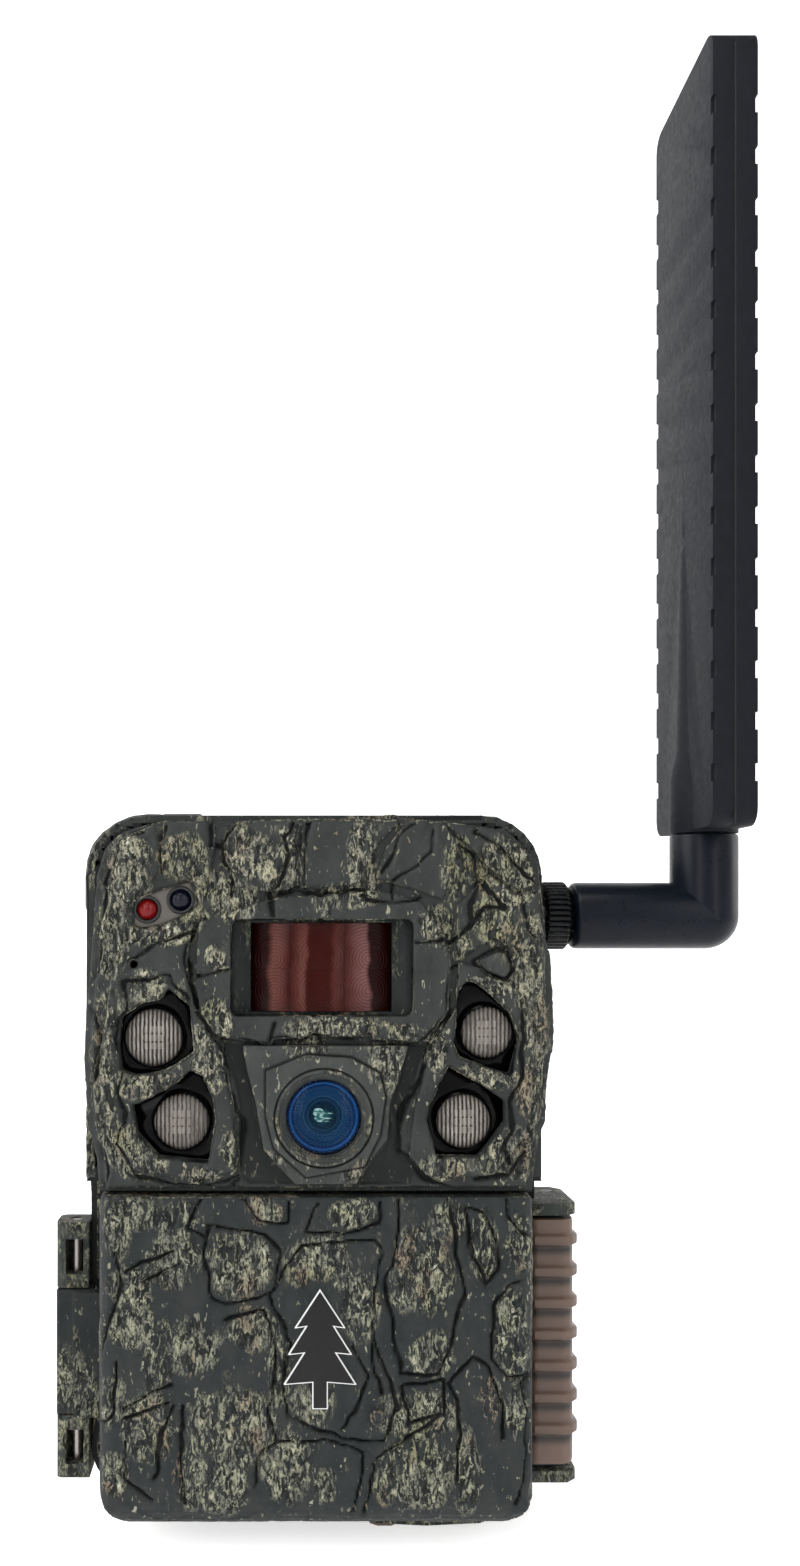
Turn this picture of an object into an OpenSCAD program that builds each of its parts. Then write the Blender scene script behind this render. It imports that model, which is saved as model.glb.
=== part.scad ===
// Cellular trail camera with a blade antenna.
// Frame: +Z up, -Y is the side that looks at the game, origin at the mouth of the tripod thread in the base.

/* [Body] */
// Half width of the main case
case_hw = 45.5; // [44.5:0.5:46]
// Height of the top of the case above the base plane
case_top = 142; // [141:0.5:144]
// Wall thickness of the mouldings
wall = 2.5; // [2:0.1:2.6]
// Corner radius of the case seen from the front
case_r = 12; // [10:1:14]

/* [Door] */
// Half width of the front door
door_hw = 41.5; // [40.5:0.5:41.5]
// Height of the top edge of the door
door_top = 68.4; // [68:0.1:68.5]
// Corner radius at the bottom of the door
door_r = 9; // [6:1:10]

/* [Optics] */
// Radius of the front glass of the camera lens
glass_r = 7.1; // [6.5:0.1:7.1]
// Radius of each flash lens
flash_r = 5.6; // [5:0.1:5.7]
// Outer radius of the curved motion sensor window
pir_r = 30; // [28:1:34]

/* [Antenna] */
// Outer radius of the elbow
elbow_r = 6.75; // [6.3:0.05:6.8]
// Width of the antenna blade
blade_w = 37; // [34:1:38]
// Thickness of the antenna blade
blade_t = 8.6; // [8:0.1:9]
// Height of the tip of the blade
blade_top = 291.3; // [285:0.1:295]

/* [Latch and hinge] */
// Radius of the hinge pin
hinge_pin_r = 1.2; // [1:0.05:1.2]
// Radius of the latch pin
latch_pin_r = 1.3; // [1:0.05:1.3]
// Number of grip ribs on the latch
ribs = 7; // [5:1:7]

/* [Controls] */
// Radius of each menu key
key_r = 3.1; // [2.6:0.1:3.1]
// Radius of one battery cell
cell_r = 7.2; // [7:0.05:7.2]

/* [Hidden] */
$fn = 48;

e = 0.01;
// depth stations
y_front = -46;      // front plane
y_wall = -44.5;     // front of the cover's base wall
y_in = -42;         // back of the cover's base wall
y_split = -33;      // joint between the cover and the case
y_rim = -25.2;      // front rim of the case around the controls
y_mid = -20;        // back of the upper ring
y_back = 20;        // back of the case
ax_y = -26.4;       // antenna axis, depth
ax_z = 122;         // antenna axis, height
ax_x = 79.9;        // antenna blade axis
hin_x = -48.6; hin_y = -24;
lat_x = 49.4; lat_y = -17.5;
lens = [1.4, 83.6];
f_pos = [[-31, 98.6], [-25.7, 82.5], [32.6, 99.6], [28.2, 82.6]];
f_rad = [flash_r, flash_r - 0.2, flash_r - 0.6, flash_r - 0.3];
seam = 138.5;       // swivel seam of the antenna

function arc(cx, cy, r, a0, a1, n = 6) = [for (i = [0:n]) [cx + r * cos(a0 + (a1 - a0) * i / n), cy + r * sin(a0 + (a1 - a0) * i / n)]];
// rounded rectangle, radii in the order bottom left, bottom right, top right, top left
function rr(x0, y0, x1, y1, r, n = 6) = concat(arc(x1 - r[1], y0 + r[1], r[1], -90, 0, n), arc(x1 - r[2], y1 - r[2], r[2], 0, 90, n),
  arc(x0 + r[3], y1 - r[3], r[3], 90, 180, n), arc(x0 + r[0], y0 + r[0], r[0], 180, 270, n));

// front view outlines, X to the right and Z up
cover_out = [[-42, 129.5], [-40.5, 134.5], [-37, 138], [-29, 140], [-3, 140.3], [16, 140.5], [23.5, 140], [36, 138.5], [39.5, 135.5], [42.5, 132],
  [43, 127], [44, 118], [45, 113.5], [45.5, 101], [45.5, 97.5], [44.5, 91.5], [44, 88], [44, 83], [43, 80], [42, 75.5], [41.5, 69],
  [-41.5, 69], [-42, 75.5], [-43.5, 81], [-44.5, 94.5], [-44, 103.5], [-43.5, 109.5], [-43, 115.5]];
cover_in = [[-39.5, 129], [-38, 133], [-35.5, 135.5], [-29, 137.4], [23, 137.4], [34.5, 136], [37.5, 133.5], [40, 130],
  [40.5, 126.5], [41.5, 117.5], [42.5, 113], [43, 97.5], [41.5, 83], [39.5, 76], [39, 71.5],
  [-39, 71.5], [-39.5, 76], [-41, 81], [-42, 94.5], [-41.5, 103.5], [-41, 109.5], [-40.5, 115.5]];
pir_frame = [[-22, 120.5], [-9, 125], [13, 126.5], [20, 124.5], [24.5, 117.5], [25.5, 113], [25, 104], [21, 98], [11, 97.5], [10.5, 99],
  [-8, 98.5], [-8.5, 97.3], [-19.5, 99], [-22, 104], [-23, 109.5], [-22.5, 116.5]];
nose_out = [[-14, 97.2], [-13, 92], [-11.5, 86.5], [-10, 77.5], [-4, 71], [7.5, 71], [9.5, 74.5], [13.5, 79.5], [14, 86.5], [15.5, 90.5], [17.5, 97.2]];
hept = [[-9.5, 92.5], [-2, 95.5], [6.5, 95], [12, 92], [13, 87.5], [12, 80.5], [9, 74.5], [-2, 72.5], [-8, 78], [-9.5, 84]];
win_a = [[-28, 108], [-24, 105], [-23, 96], [-26.5, 93.5], [-30, 92], [-34.5, 91.5], [-37, 92.5], [-37.5, 97], [-37, 102.5], [-33, 105.5], [-30, 106]];
win_b = [[-24, 92.5], [-22, 92], [-19.5, 87], [-19, 83], [-20.5, 75], [-30, 76], [-34, 80.5], [-35, 86], [-33.5, 86.3], [-27.5, 89.5]];
win_c = [[29, 109.5], [31, 109], [36.5, 104], [38, 101], [38.5, 97.5], [37, 91.7], [33, 92.8], [27, 95], [26, 97.5], [27, 108]];
win_d = [[25, 93.5], [31, 90], [36, 86.5], [36, 82.5], [31, 76], [23, 76], [21, 83], [21.5, 86]];
status_out = [[-35, 120], [-34.5, 124], [-33.5, 125.5], [-29.5, 127], [-24, 128.5], [-22.5, 124], [-25.5, 122], [-27.5, 121], [-30, 120], [-33.5, 119.5]];
left_frame = [[-23.5, 121], [-24.5, 113], [-23.5, 105.5], [-20, 99], [-17, 94], [-15.8, 86], [-15.5, 73.5], [-21, 72], [-35, 73], [-39.5, 80], [-41, 90], [-40, 101], [-39, 110], [-36, 116]];
right_frame = [[27, 113], [32, 111.5], [39, 107], [41.5, 99], [41, 88], [39.5, 80], [33, 72.5], [21, 72.5], [17.5, 76.5], [18.5, 84], [20.5, 92], [23, 98], [26.5, 104]];
top_plates = [
  [[-41, 128], [-37, 136.5], [-31, 139], [-29, 132], [-32.5, 127.5], [-36, 124]],
  [[-29, 139.5], [-19, 139.8], [-19.5, 134], [-21, 127], [-25, 129.5], [-30, 129]],
  [[-16, 139.6], [-3.5, 140], [-4.5, 136], [-4, 127.5], [-9, 126.5], [-15, 127.5], [-17.5, 134]],
  [[-2.5, 140], [16, 140], [12, 136], [9.5, 131], [9, 128], [-3, 127.3]],
  [[17.5, 140], [24, 139.5], [27, 136], [28, 131], [24, 125], [17, 127.5], [11.5, 129], [13, 134]],
  [[25, 139.5], [35, 138], [40, 133.5], [42, 128], [38, 127], [33, 131], [29.5, 135]],
  [[27, 124], [33, 129.5], [38, 126], [42.3, 126], [43, 118], [38.5, 115], [34, 118], [27, 114]]];

// extrude a front view shape from depth a back to depth b
module front(a, b) { translate([0, b, 0]) rotate([90, 0, 0]) linear_extrude(height = b - a) children(); }
// extrude a side view shape (Y across, Z up) from x a to x b
module sidewise(a, b) { translate([a, 0, 0]) rotate([90, 0, 90]) linear_extrude(height = b - a) children(); }
// extrude a plan view shape from height a to height b
module plan(a, b) { translate([0, 0, a]) linear_extrude(height = b - a) children(); }
// box from low corner to high corner
module bx(a, b) { translate(a) cube([b[0] - a[0], b[1] - a[1], b[2] - a[2]]); }
// cylinder along Y from a to b at x, z
module cy(x, z, r, a, b) { translate([x, b, z]) rotate([90, 0, 0]) cylinder(r = r, h = b - a); }
// cylinder along X from a to b at y, z
module cx(y, z, r, a, b) { translate([a, y, z]) rotate([0, 90, 0]) cylinder(r = r, h = b - a); }
// cylinder along Z from a to b at x, y
module cz(x, y, r, a, b) { translate([x, y, a]) cylinder(r = r, h = b - a); }

// ---------- case ----------
module case_outer() {
  intersection() {
    front(y_split, y_back) polygon(rr(-case_hw, 4, case_hw, case_top, [9, 9, case_r, case_r]));
    plan(0, case_top + 1) polygon(rr(-case_hw, y_split - 1, case_hw, y_back, [0.5, 0.5, 6, 6]));
    sidewise(-case_hw - 1, case_hw + 1) polygon(rr(y_split - 1, 4, y_back, case_top, [0.5, 6, 6, 0.5]));
  }
}
module latch_ear(z0, z1) {
  difference() {
    plan(z0, z1) polygon([[45.52, -13.5], [51, -13.5], [53, -16], [53, -29], [51, -31], [42.6, -31], [42.6, -25.25], [45.52, -25.25]]);
    cz(lat_x, lat_y, latch_pin_r + 0.01, z0 - 1, z1 + 1);
  }
}
module case_knuckle(z0, z1, w0, w1) {
  difference() {
    plan(z0, z1) polygon(rr(-52.3, -27.7, -45.52, -20.3, [1.2, 0.3, 0.3, 1.6], 3));
    bx([-50.4, -28, w0], [-46.8, -22.4, w1]);
    cz(hin_x, hin_y, hinge_pin_r + 0.01, z0 - 1, z1 + 1);
  }
}
module rear_case() color([0.22, 0.24, 0.2]) {
  difference() {
    union() {
      difference() {
        case_outer();
        bx([-60, y_split - 2, 0], [60, y_rim, 200]);
        bx([-60, y_split - 2, 68.98], [60, y_mid, 200]);
        front(y_rim + 2.5, y_back - wall) polygon(rr(-case_hw + wall, 6.5, case_hw - wall, case_top - wall, [6.5, 6.5, case_r - wall, case_r - wall]));
        bx([-38.5, y_rim - 1, 9.5], [38.5, y_rim + 3, 63.5]);
        bx([-40.7, -15, 3], [40.7, 17.5, 12]);
        cz(hin_x, hin_y, 4.35, 20.2, 46.2);
      }
      cz(0, 0, 6.6, 0, 10);
      bx([-3, 5, 4], [3, 17.8, 26]);
      // screw bosses behind the tree bracket
      for (x = [-14, 14], z = [74, 112]) cy(x, z, 3.6, 11, 17.6);
      // ledges under the contact board
      bx([-43.2, -14, 57.4], [-41.4, 16, 58.9]);
      bx([41.4, -14, 57.4], [43.2, 16, 58.9]);
    }
    cz(0, 0, 5, -1, 8);
    for (x = [-14, 14], z = [74, 112]) cy(x, z, 1.5, 12, 21);
  }
}
// upper ring between the rear case and the front cover
module mid_frame() color([0.24, 0.26, 0.21]) {
  difference() {
    intersection() {
      case_outer();
      bx([-60, y_split - 1, 69], [60, y_mid - 0.02, 200]);
    }
    front(y_split - 1, y_mid + 1) polygon(rr(-case_hw + wall, 71.5, case_hw - wall, case_top - wall, [1, 1, case_r - wall, case_r - wall]));
    cx(ax_y, ax_z, 3.3, 40, 50);
  }
}
module hinge_knuckles() color([0.2, 0.22, 0.19]) {
  case_knuckle(46.2, 59.6, 48.9, 56.1);
  case_knuckle(7.6, 20.2, 10.3, 17.3);
}
module latch_ears() color([0.2, 0.22, 0.19]) {
  latch_ear(61.6, 64);
  latch_ear(7.9, 10.3);
}

// ---------- front cover ----------
module windows(a, b) for (p = [win_a, win_b, win_c, win_d]) front(a, b) polygon(p);
// a front view shape grown about a centre
function grow(p, c, k) = [for (q = p) [c[0] + (q[0] - c[0]) * k, c[1] + (q[1] - c[1]) * k]];
module front_cover() color([0.36, 0.38, 0.3]) {
  difference() {
    union() {
      front(y_wall + 1.2, y_split - 0.02) polygon(cover_out);
      front(y_wall, y_wall + 1.3) polygon([for (p = cover_out) [p[0] * 0.965, 104.5 + (p[1] - 104.5) * 0.97]]);
      front(-46, y_wall + 0.1) polygon(pir_frame);
      front(-46.2, y_wall + 0.1) polygon(left_frame);
      front(-46.2, y_wall + 0.1) polygon(right_frame);
      for (i = [0:6]) front(-45.4 - 0.15 * (i % 3), y_wall + 0.1) polygon(top_plates[i]);
    }
    front(y_in, y_split + 1) polygon(cover_in);
    windows(-50, -40);
    front(-50, -40) polygon(rr(-16.3, 102.7, 18.5, 121.3, [1.4, 1.4, 1.4, 1.4], 3));
    front(-50, -40) polygon(status_out);
    cy(lens[0], lens[1], 9.35, -50, -40);
    cy(-34.7, 112.7, 0.8, -50, -40);
    bx([-36, -37, 68], [-9, -33.8, 72]);
  }
}
module lens_nose() color([0.3, 0.32, 0.27]) {
  difference() {
    union() {
      front(-46.4, y_wall - 0.02) polygon(nose_out);
      front(-47.2, -46.3) polygon(hept);
    }
    cy(lens[0], lens[1], 9.35, -50, -40);
  }
}
module lens_ring() color([0.3, 0.31, 0.28]) {
  translate([lens[0], 0, lens[1]]) rotate([90, 0, 0]) rotate_extrude() polygon([[7.2, 36], [9.25, 36], [9.25, 47.3], [8.4, 47.3], [8.1, 46.6], [7.2, 46.2]]);
}
module lens_glass() color([0.1, 0.3, 0.6, 0.6]) {
  translate([lens[0], 0, lens[1]]) intersection() {
    rotate([90, 0, 0]) translate([0, 0, 44]) cylinder(r = glass_r, h = 3);
    translate([0, -45.4 + 28, 0]) sphere(r = 28, $fn = 96);
  }
}
module lens_barrel() color([0.04, 0.1, 0.2]) {
  translate([lens[0], 0, lens[1]]) rotate([90, 0, 0]) rotate_extrude()
    polygon([[6.0, 43.8], [7.1, 43.8], [7.1, 26], [3, 26], [3, 38.6], [4, 38.6], [4, 40.2], [5, 40.2], [5, 42], [6, 42]]);
}
module lens_element() color([0.2, 0.5, 0.5, 0.6]) {
  translate([lens[0], 0, lens[1]]) intersection() {
    rotate([90, 0, 0]) translate([0, 0, 36.5]) cylinder(r = 2.95, h = 4);
    translate([0, -39.4 + 6, 0]) sphere(r = 6);
  }
}
module image_sensor() color([0.1, 0.35, 0.2]) {
  bx([lens[0] - 9, -25.4, lens[1] - 9], [lens[0] + 9, -24.2, lens[1] + 9]);
  bx([lens[0] - 3.5, -26, lens[1] - 3.5 + 6.2 - 6.2], [lens[0] + 3.5, -25.4, lens[1] + 3.5]);
}

// ---------- motion sensor ----------
module pir_bezel() color([0.1, 0.1, 0.1]) {
  difference() {
    front(-44.2, -39.5) polygon(rr(-16.2, 102.8, 18.4, 121.2, [1.3, 1.3, 1.3, 1.3], 3));
    front(-45, -39) polygon(rr(-12.5, 103.4, 14.7, 120.6, [0.2, 0.2, 0.2, 0.2], 2));
    plan(102, 122) polygon([[-15.9, -44.9], [18.1, -44.9], [14.7, -42.6], [-12.5, -42.6]]);
  }
}
module pir_lens() color([0.3, 0.03, 0.02]) {
  intersection() {
    difference() {
      cz(1.1, -43.6 + pir_r, pir_r, 103.5, 120.5, $fn = 120);
      cz(1.1, -43.6 + pir_r, pir_r - 0.8, 103, 121, $fn = 120);
    }
    bx([-12.3, -45, 103.6], [14.5, -36, 120.4]);
  }
}
module pir_sensor() color([0.7, 0.7, 0.68]) {
  cy(1.1, 112, 4.5, -31.5, -27.5);
  cy(1.1, 112, 5, -27.5, -26.9);
  bx([-6, -26.9, 105], [8.2, -25.7, 119]);
}

// ---------- flash ----------
module flash_windows() color([0.01, 0.01, 0.01]) {
  difference() {
    union() {
      front(-41.98, -40.8) polygon(grow(win_a, [-30.5, 99], 1.1));
      front(-41.98, -40.8) polygon(grow(win_b, [-27, 82.5], 1.1));
      front(-41.98, -40.8) polygon(grow(win_c, [32, 99.5], 1.1));
      front(-41.98, -40.8) polygon(grow(win_d, [28.5, 84], 1.1));
    }
    for (i = [0:3]) cy(f_pos[i][0], f_pos[i][1], f_rad[i] + 0.02, -45, -40);
  }
}
module flash_lenses() color([0.6, 0.56, 0.55, 0.8]) {
  for (i = [0:3]) intersection() {
    cy(f_pos[i][0], f_pos[i][1], f_rad[i], -44.4, -40.8);
    translate([f_pos[i][0], -44.2 + 20, f_pos[i][1]]) sphere(r = 20, $fn = 64);
  }
}
module flash_boards() color([0.1, 0.3, 0.15]) {
  bx([-38, -39.4, 76], [-18, -38, 106]);
  bx([20, -39.4, 76], [39, -38, 106]);
  for (p = f_pos) {
    bx([p[0] - 1.8, -40.4, p[1] - 1.8], [p[0] + 1.8, -39.3, p[1] + 1.8]);
    cy(p[0], p[1], 1.3, -40.75, -40.3);
  }
}

// ---------- indicators ----------
module status_panel() color([0.22, 0.2, 0.19]) {
  difference() {
    front(-43.6, -42.1) polygon([for (p = status_out) [p[0] * 0.996 - 0.12, 124 + (p[1] - 124) * 0.985]]);
    cy(-32.3, 123.1, 2.0, -45, -41);
    cy(-25.9, 124.9, 2.0, -45, -41);
  }
}
module dome(x, z, r) {
  cy(x, z, r, -43.2, -40);
  intersection() {
    cy(x, z, r, -44.6, -43.2);
    translate([x, -43.2 + 1.2, z]) sphere(r = 2.3);
  }
}
module status_lens() color([0.5, 0.01, 0.01]) dome(-32.3, 123.1, 1.9);
module light_sensor() color([0.02, 0.02, 0.08]) dome(-25.9, 124.9, 1.9);
module microphone() color([0.6, 0.6, 0.6]) { cy(-34.7, 112.7, 2.5, -41.8, -39.6); }

// ---------- electronics ----------
module main_board() color([0.08, 0.3, 0.16]) {
  difference() {
    bx([-39, -22.2, 74], [39, -20.6, 135]);
    for (x = [-36, 36], z = [77, 132]) cy(x, z, 1.4, -23, -20);
  }
  bx([-10, -20.6, 92], [2, -19.4, 104]);
  bx([8, -20.6, 108], [20, -19.6, 116]);
  bx([-34, -20.6, 118], [-22, -18.2, 130]);
  // cellular modem on its carrier
  bx([5, -20.6, 78], [32, -19.8, 106]);
  bx([6, -19.9, 79], [31, -17.8, 105]);
}
module antenna_jack() color([0.75, 0.6, 0.25]) {
  difference() {
    union() {
      cx(ax_y, ax_z, 3.1, 42.9, 50.0);
      translate([41, ax_y, ax_z]) rotate([0, 90, 0]) cylinder(r = 4.4, h = 1.95, $fn = 6);
      cx(ax_y, ax_z, 2.2, 37.5, 41.1);
    }
    cx(ax_y, ax_z, 1.9, 44.5, 51);
  }
}

// ---------- controls behind the door ----------
keys = [[23, 54], [23, 38], [15, 46], [31, 46], [23, 46]];
module control_panel() color([0.08, 0.08, 0.08]) {
  difference() {
    front(-24.6, -22.7) polygon(rr(-38.3, 9.7, 38.3, 63.3, [1, 1, 1, 1], 2));
    bx([-33, -26, 27.5], [7, -22, 58.5]);
    for (k = keys) cy(k[0], k[1], key_r + 0.15, -26, -22);
    bx([-36, -26, 15], [-22, -22, 18]);
    bx([13.8, -26, 14.4], [23.2, -22, 17.8]);
  }
}
module display_screen() color([0.05, 0.07, 0.1]) {
  bx([-34.5, -22.7, 26], [8.5, -20.9, 60]);
  bx([-32.9, -23.7, 27.6], [6.9, -22.7, 58.4]);
}
module keypad_board() color([0.1, 0.3, 0.18]) {
  bx([-37, -19.5, 11], [37, -18.1, 62]);
  for (k = keys) cy(k[0], k[1], 2.4, -20.2, -19.5);
}
module key(i, r) { cy(keys[i][0], keys[i][1], r, -25.9, -22); cy(keys[i][0], keys[i][1], r + 0.5, -22.3, -21.2); }
module key_up() color([0.2, 0.2, 0.2]) key(0, key_r);
module key_down() color([0.2, 0.2, 0.2]) key(1, key_r);
module key_left() color([0.2, 0.2, 0.2]) key(2, key_r);
module key_right() color([0.2, 0.2, 0.2]) key(3, key_r);
module key_ok() color([0.4, 0.28, 0.2]) key(4, key_r);
module mode_slider() color([0.4, 0.28, 0.2]) {
  bx([-31, -26, 15.3], [-27, -22.2, 17.7]);
  bx([-32, -22.3, 14.2], [-26, -21.4, 18.8]);
}
module usb_port() color([0.7, 0.7, 0.72]) {
  difference() {
    bx([14.1, -24.6, 14.6], [22.9, -20.2, 17.6]);
    bx([14.6, -25, 15.1], [22.4, -21, 17.1]);
  }
}
module sd_slot() color([0.7, 0.7, 0.72]) {
  difference() {
    bx([-35.6, -36.9, 73], [-9.4, -33.4, 99.5]);
    bx([-34.85, -36.5, 72], [-10.15, -33.82, 99]);
  }
}
module sd_card() color([0.05, 0.08, 0.2]) {
  plan_pts = [[-34.5, 66], [-10.5, 66], [-10.5, 98], [-30.5, 98], [-34.5, 94]];
  front(-36.15, -34.15) polygon(plan_pts);
}
module door_gasket() color([0.05, 0.05, 0.05]) {
  difference() {
    front(-26.2, y_rim - 0.02) polygon(rr(-41.2, 5.4, 41.2, 67.6, [7, 7, 2, 2]));
    front(-27, -24) polygon(rr(-39.4, 7.2, 39.4, 65.8, [5.4, 5.4, 1.2, 1.2]));
  }
}

// ---------- power ----------
cells = [for (s = [-1, 1], c = [16.5, 31.5], y = [-6.1, 8.7]) [s * c, y]];
module battery_tray() color([0.22, 0.24, 0.2]) {
  difference() {
    plan(0.8, 3.6) polygon(concat([[42, 18.6], [-42, 18.6], [-42.5, 17], [-42.5, -22], [-40, -24], [9, -24.5]],
      [[10.3, -31], [12.3, -33.5], [22, -34.6], [33, -33.5], [38, -30], [40, -24], [42.5, -22], [42.5, 17]]));
    cz(0, 0, 7.4, 0, 5);
  }
}
module battery_cups() color([0.1, 0.1, 0.1]) {
  for (s = [-1, 1]) difference() {
    bx([s > 0 ? 7.8 : -40.2, -14.7, 3.6], [s > 0 ? 40.2 : -7.8, 17.1, 34]);
    bx([s > 0 ? 9 : -39, -13.6, 4.6], [s > 0 ? 39 : -9, 16.1, 40]);
  }
}
module battery_cells() color([0.65, 0.5, 0.2]) {
  for (i = [0:7]) translate([cells[i][0], cells[i][1], 0]) {
    translate([0, 0, 6.4]) cylinder(r = cell_r, h = 48.3);
    translate([0, 0, i % 2 == 0 ? 54.6 : 5.3]) cylinder(r = 2.7, h = i % 2 == 0 ? 1.0 : 1.2);
  }
}
module tray_contacts() color([0.75, 0.75, 0.72]) {
  for (s = [-1, 1], y = [-6.1, 8.7]) {
    bx([s * 24 - 13.5, y - 4, 4.6], [s * 24 + 13.5, y + 4, 5.2]);
  }
  for (i = [0:2:7]) translate([cells[i][0], cells[i][1], 5.1]) cylinder(r1 = 3.9, r2 = 2.6, h = 1.3);
}
module contact_board() color([0.1, 0.3, 0.18]) {
  difference() {
    bx([-42.8, -13.8, 59], [42.8, 16.6, 60.4]);
    cz(0, 0, 4, 58, 62);
  }
  for (i = [0:7]) translate([cells[i][0], cells[i][1], 56]) cylinder(r1 = 2.6, r2 = 4.6, h = 3.1);
}
module tripod_insert() color([0.8, 0.65, 0.3]) {
  difference() { cz(0, 0, 4.98, 0, 8); cz(0, 0, 3.175, -1, 9); }
}
module rubber_feet() color([0.4, 0.28, 0.2]) {
  plan(0, 0.8) polygon([[11.4, -28], [16.4, -28], [16.9, -31.5], [15.5, -32.7], [12.6, -32.7], [11.1, -31.5]]);
  cz(-34, -18, 3.5, 0, 0.8);
  cz(-34, 12, 3.5, 0, 0.8);
  cz(34, 12, 3.5, 0, 0.8);
}

// ---------- tree bracket ----------
module rail(x0, x1) {
  difference() {
    sidewise(x0, x1) polygon(concat([[21.5, 40], [28, 40], [31.5, 44]], [for (i = [0:8]) each [[31.5, 47 + 8 * i], [29.8, 51 + 8 * i]]], [[31.5, 119], [28, 124], [21.5, 124]]));
    bx([x0 - 1, 22.6, 66], [x1 + 1, 27.8, 94]);
    cx(26, 103, 3, x0 - 1, x1 + 1);
  }
}
module tree_bracket() color([0.12, 0.12, 0.11]) {
  difference() {
    union() {
      front(20.02, 22.5) polygon(rr(-30, 40, 30, 124, [5, 5, 5, 5], 4));
      rail(-29, -24.5);
      rail(24.5, 29);
    }
    for (x = [-14, 14], z = [74, 112]) { cy(x, z, 1.7, 19, 24); cy(x, z, 3.2, 21.3, 24); }
  }
}
module bracket_screws() color([0.55, 0.55, 0.55]) {
  for (x = [-14, 14], z = [74, 112]) {
    difference() { cy(x, z, 3, 21.3, 22.9); bx([x - 2, 22.2, z - 0.4], [x + 2, 23, z + 0.4]); bx([x - 0.4, 22.2, z - 2], [x + 0.4, 23, z + 2]); }
    cy(x, z, 1.45, 13, 21.4);
  }
}
module cover_screws() color([0.55, 0.55, 0.55]) {
  for (x = [-36, 36], z = [77, 132]) { cy(x, z, 2.4, -20.6, -19); cy(x, z, 1.3, -24, -20.5); }
}

// ---------- door ----------
module door_shell() color([0.3, 0.33, 0.27]) {
  difference() {
    union() {
      difference() {
        intersection() {
          front(y_front, -26.5) polygon(rr(-door_hw, 4.4, door_hw, door_top, [door_r, door_r, 1.2, 1.2]));
          plan(0, 80) polygon(rr(-door_hw - 1e-3, y_front - 1e-3, door_hw + 1e-3, 0, [3, 3, 0.5, 0.5], 4));
          sidewise(-60, 60) polygon(rr(y_front - 1e-3, 4.3, 0, 80, [7.5, 0.5, 0.5, 0.5], 6));
        }
        front(y_front + wall, -26) polygon(rr(-door_hw + wall, 7.4, door_hw - wall, door_top - wall, [6.5, 6.5, 1, 1]));
        // clearance for the memory card in the top wall
        bx([-37.5, -38, 60], [-6.5, -26, 70]);
      }
      // middle hinge knuckle and its arm
      cz(hin_x, hin_y, 3.7, 20.5, 45.9);
      bx([-52.3, -27.7, 20.5], [-44.9, -24, 45.9]);
      bx([-48.6, -29.6, 20.5], [-40.5, -26.7, 45.9]);
    }
    cz(hin_x, hin_y, hinge_pin_r + 0.06, 19, 47);
  }
}
module pine(s) scale([s, s]) union() {
  polygon([[0, 15], [4.2, 8.6], [2.2, 8.9], [5.4, 3.8], [2.6, 4.1], [6.2, -1.6], [-6.2, -1.6], [-2.6, 4.1], [-5.4, 3.8], [-2.2, 8.9], [-4.2, 8.6]]);
  polygon([[-1.2, -1.2], [1.2, -1.2], [1.2, -6], [-1.2, -6]]);
}
// plain conifer badge
module door_badge() color([0.05, 0.05, 0.05]) {
  translate([0.7, 0, 35]) front(-46.7, y_front - 0.02) pine(1.05);
}
module door_studs() color([0.25, 0.26, 0.22]) {
  for (p = [[-26, 60.5], [11.5, 28], [-29.5, 31]]) cy(p[0], p[1], 1.1, -46.6, y_front - 0.02);
}
module hinge_pin() color([0.75, 0.72, 0.7]) { cz(hin_x, hin_y, hinge_pin_r, 8, 59.4); }

// ---------- latch ----------
grip_out = [[43, -30.6], [44.4, -31.8], [50, -31.8], [52.4, -29.4], [52.4, -20.5]];
module latch_lever() color([0.1, 0.1, 0.1]) {
  difference() {
    union() {
      plan(10.8, 61.1) polygon([[43, -29.9], [50.2, -29.9], [50.9, -29.2], [50.9, lat_y], [46.4, lat_y], [46.4, -26.6], [43, -26.6]]);
      cz(lat_x, lat_y, 3, 10.8, 61.1);
    }
    cz(lat_x, lat_y, latch_pin_r + 0.06, 10, 62);
  }
}
module latch_grip() color([0.36, 0.28, 0.25]) {
  plan(12, 61) polygon(concat([[43, -29.92]], grip_out, [[50.92, -20.5], [50.92, -29.22], [50.22, -29.92]]));
  for (i = [0:ribs - 1]) plan(56 - 6.3 * i, 57.9 - 6.3 * i)
    polygon([[44.4, -31.7], [44.9, -32.7], [50.3, -32.7], [53.3, -29.7], [53.3, -22], [52.3, -21], [52.3, -29.4], [50, -31.7]]);
}
module latch_pin() color([0.75, 0.72, 0.7]) { cz(lat_x, lat_y, latch_pin_r, 7.9, 64); }

// ---------- antenna ----------
module antenna_nut() color([0.06, 0.06, 0.06]) {
  difference() {
    union() {
      translate([46.6, ax_y, ax_z]) rotate([90, 0, 90]) linear_extrude(height = 4.8)
        polygon([for (i = [0:71]) let (r = (i % 2 == 0) ? 6.9 : 6.3) [r * cos(i * 5), r * sin(i * 5)]]);
      translate([51.3, ax_y, ax_z]) rotate([0, 90, 0]) cylinder(r1 = 6.3, r2 = 5.4, h = 1.0);
    }
    cx(ax_y, ax_z, 3.35, 46, 51.2);
    cx(ax_y, ax_z, 2.6, 51, 53);
  }
}
module antenna_ferrule() color([0.75, 0.6, 0.25]) {
  cx(ax_y, ax_z, 3.2, 50.3, 50.9);
  cx(ax_y, ax_z, 2.5, 50.8, 56);
  cx(ax_y, ax_z, 0.45, 46.8, 50.4);
}
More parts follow.
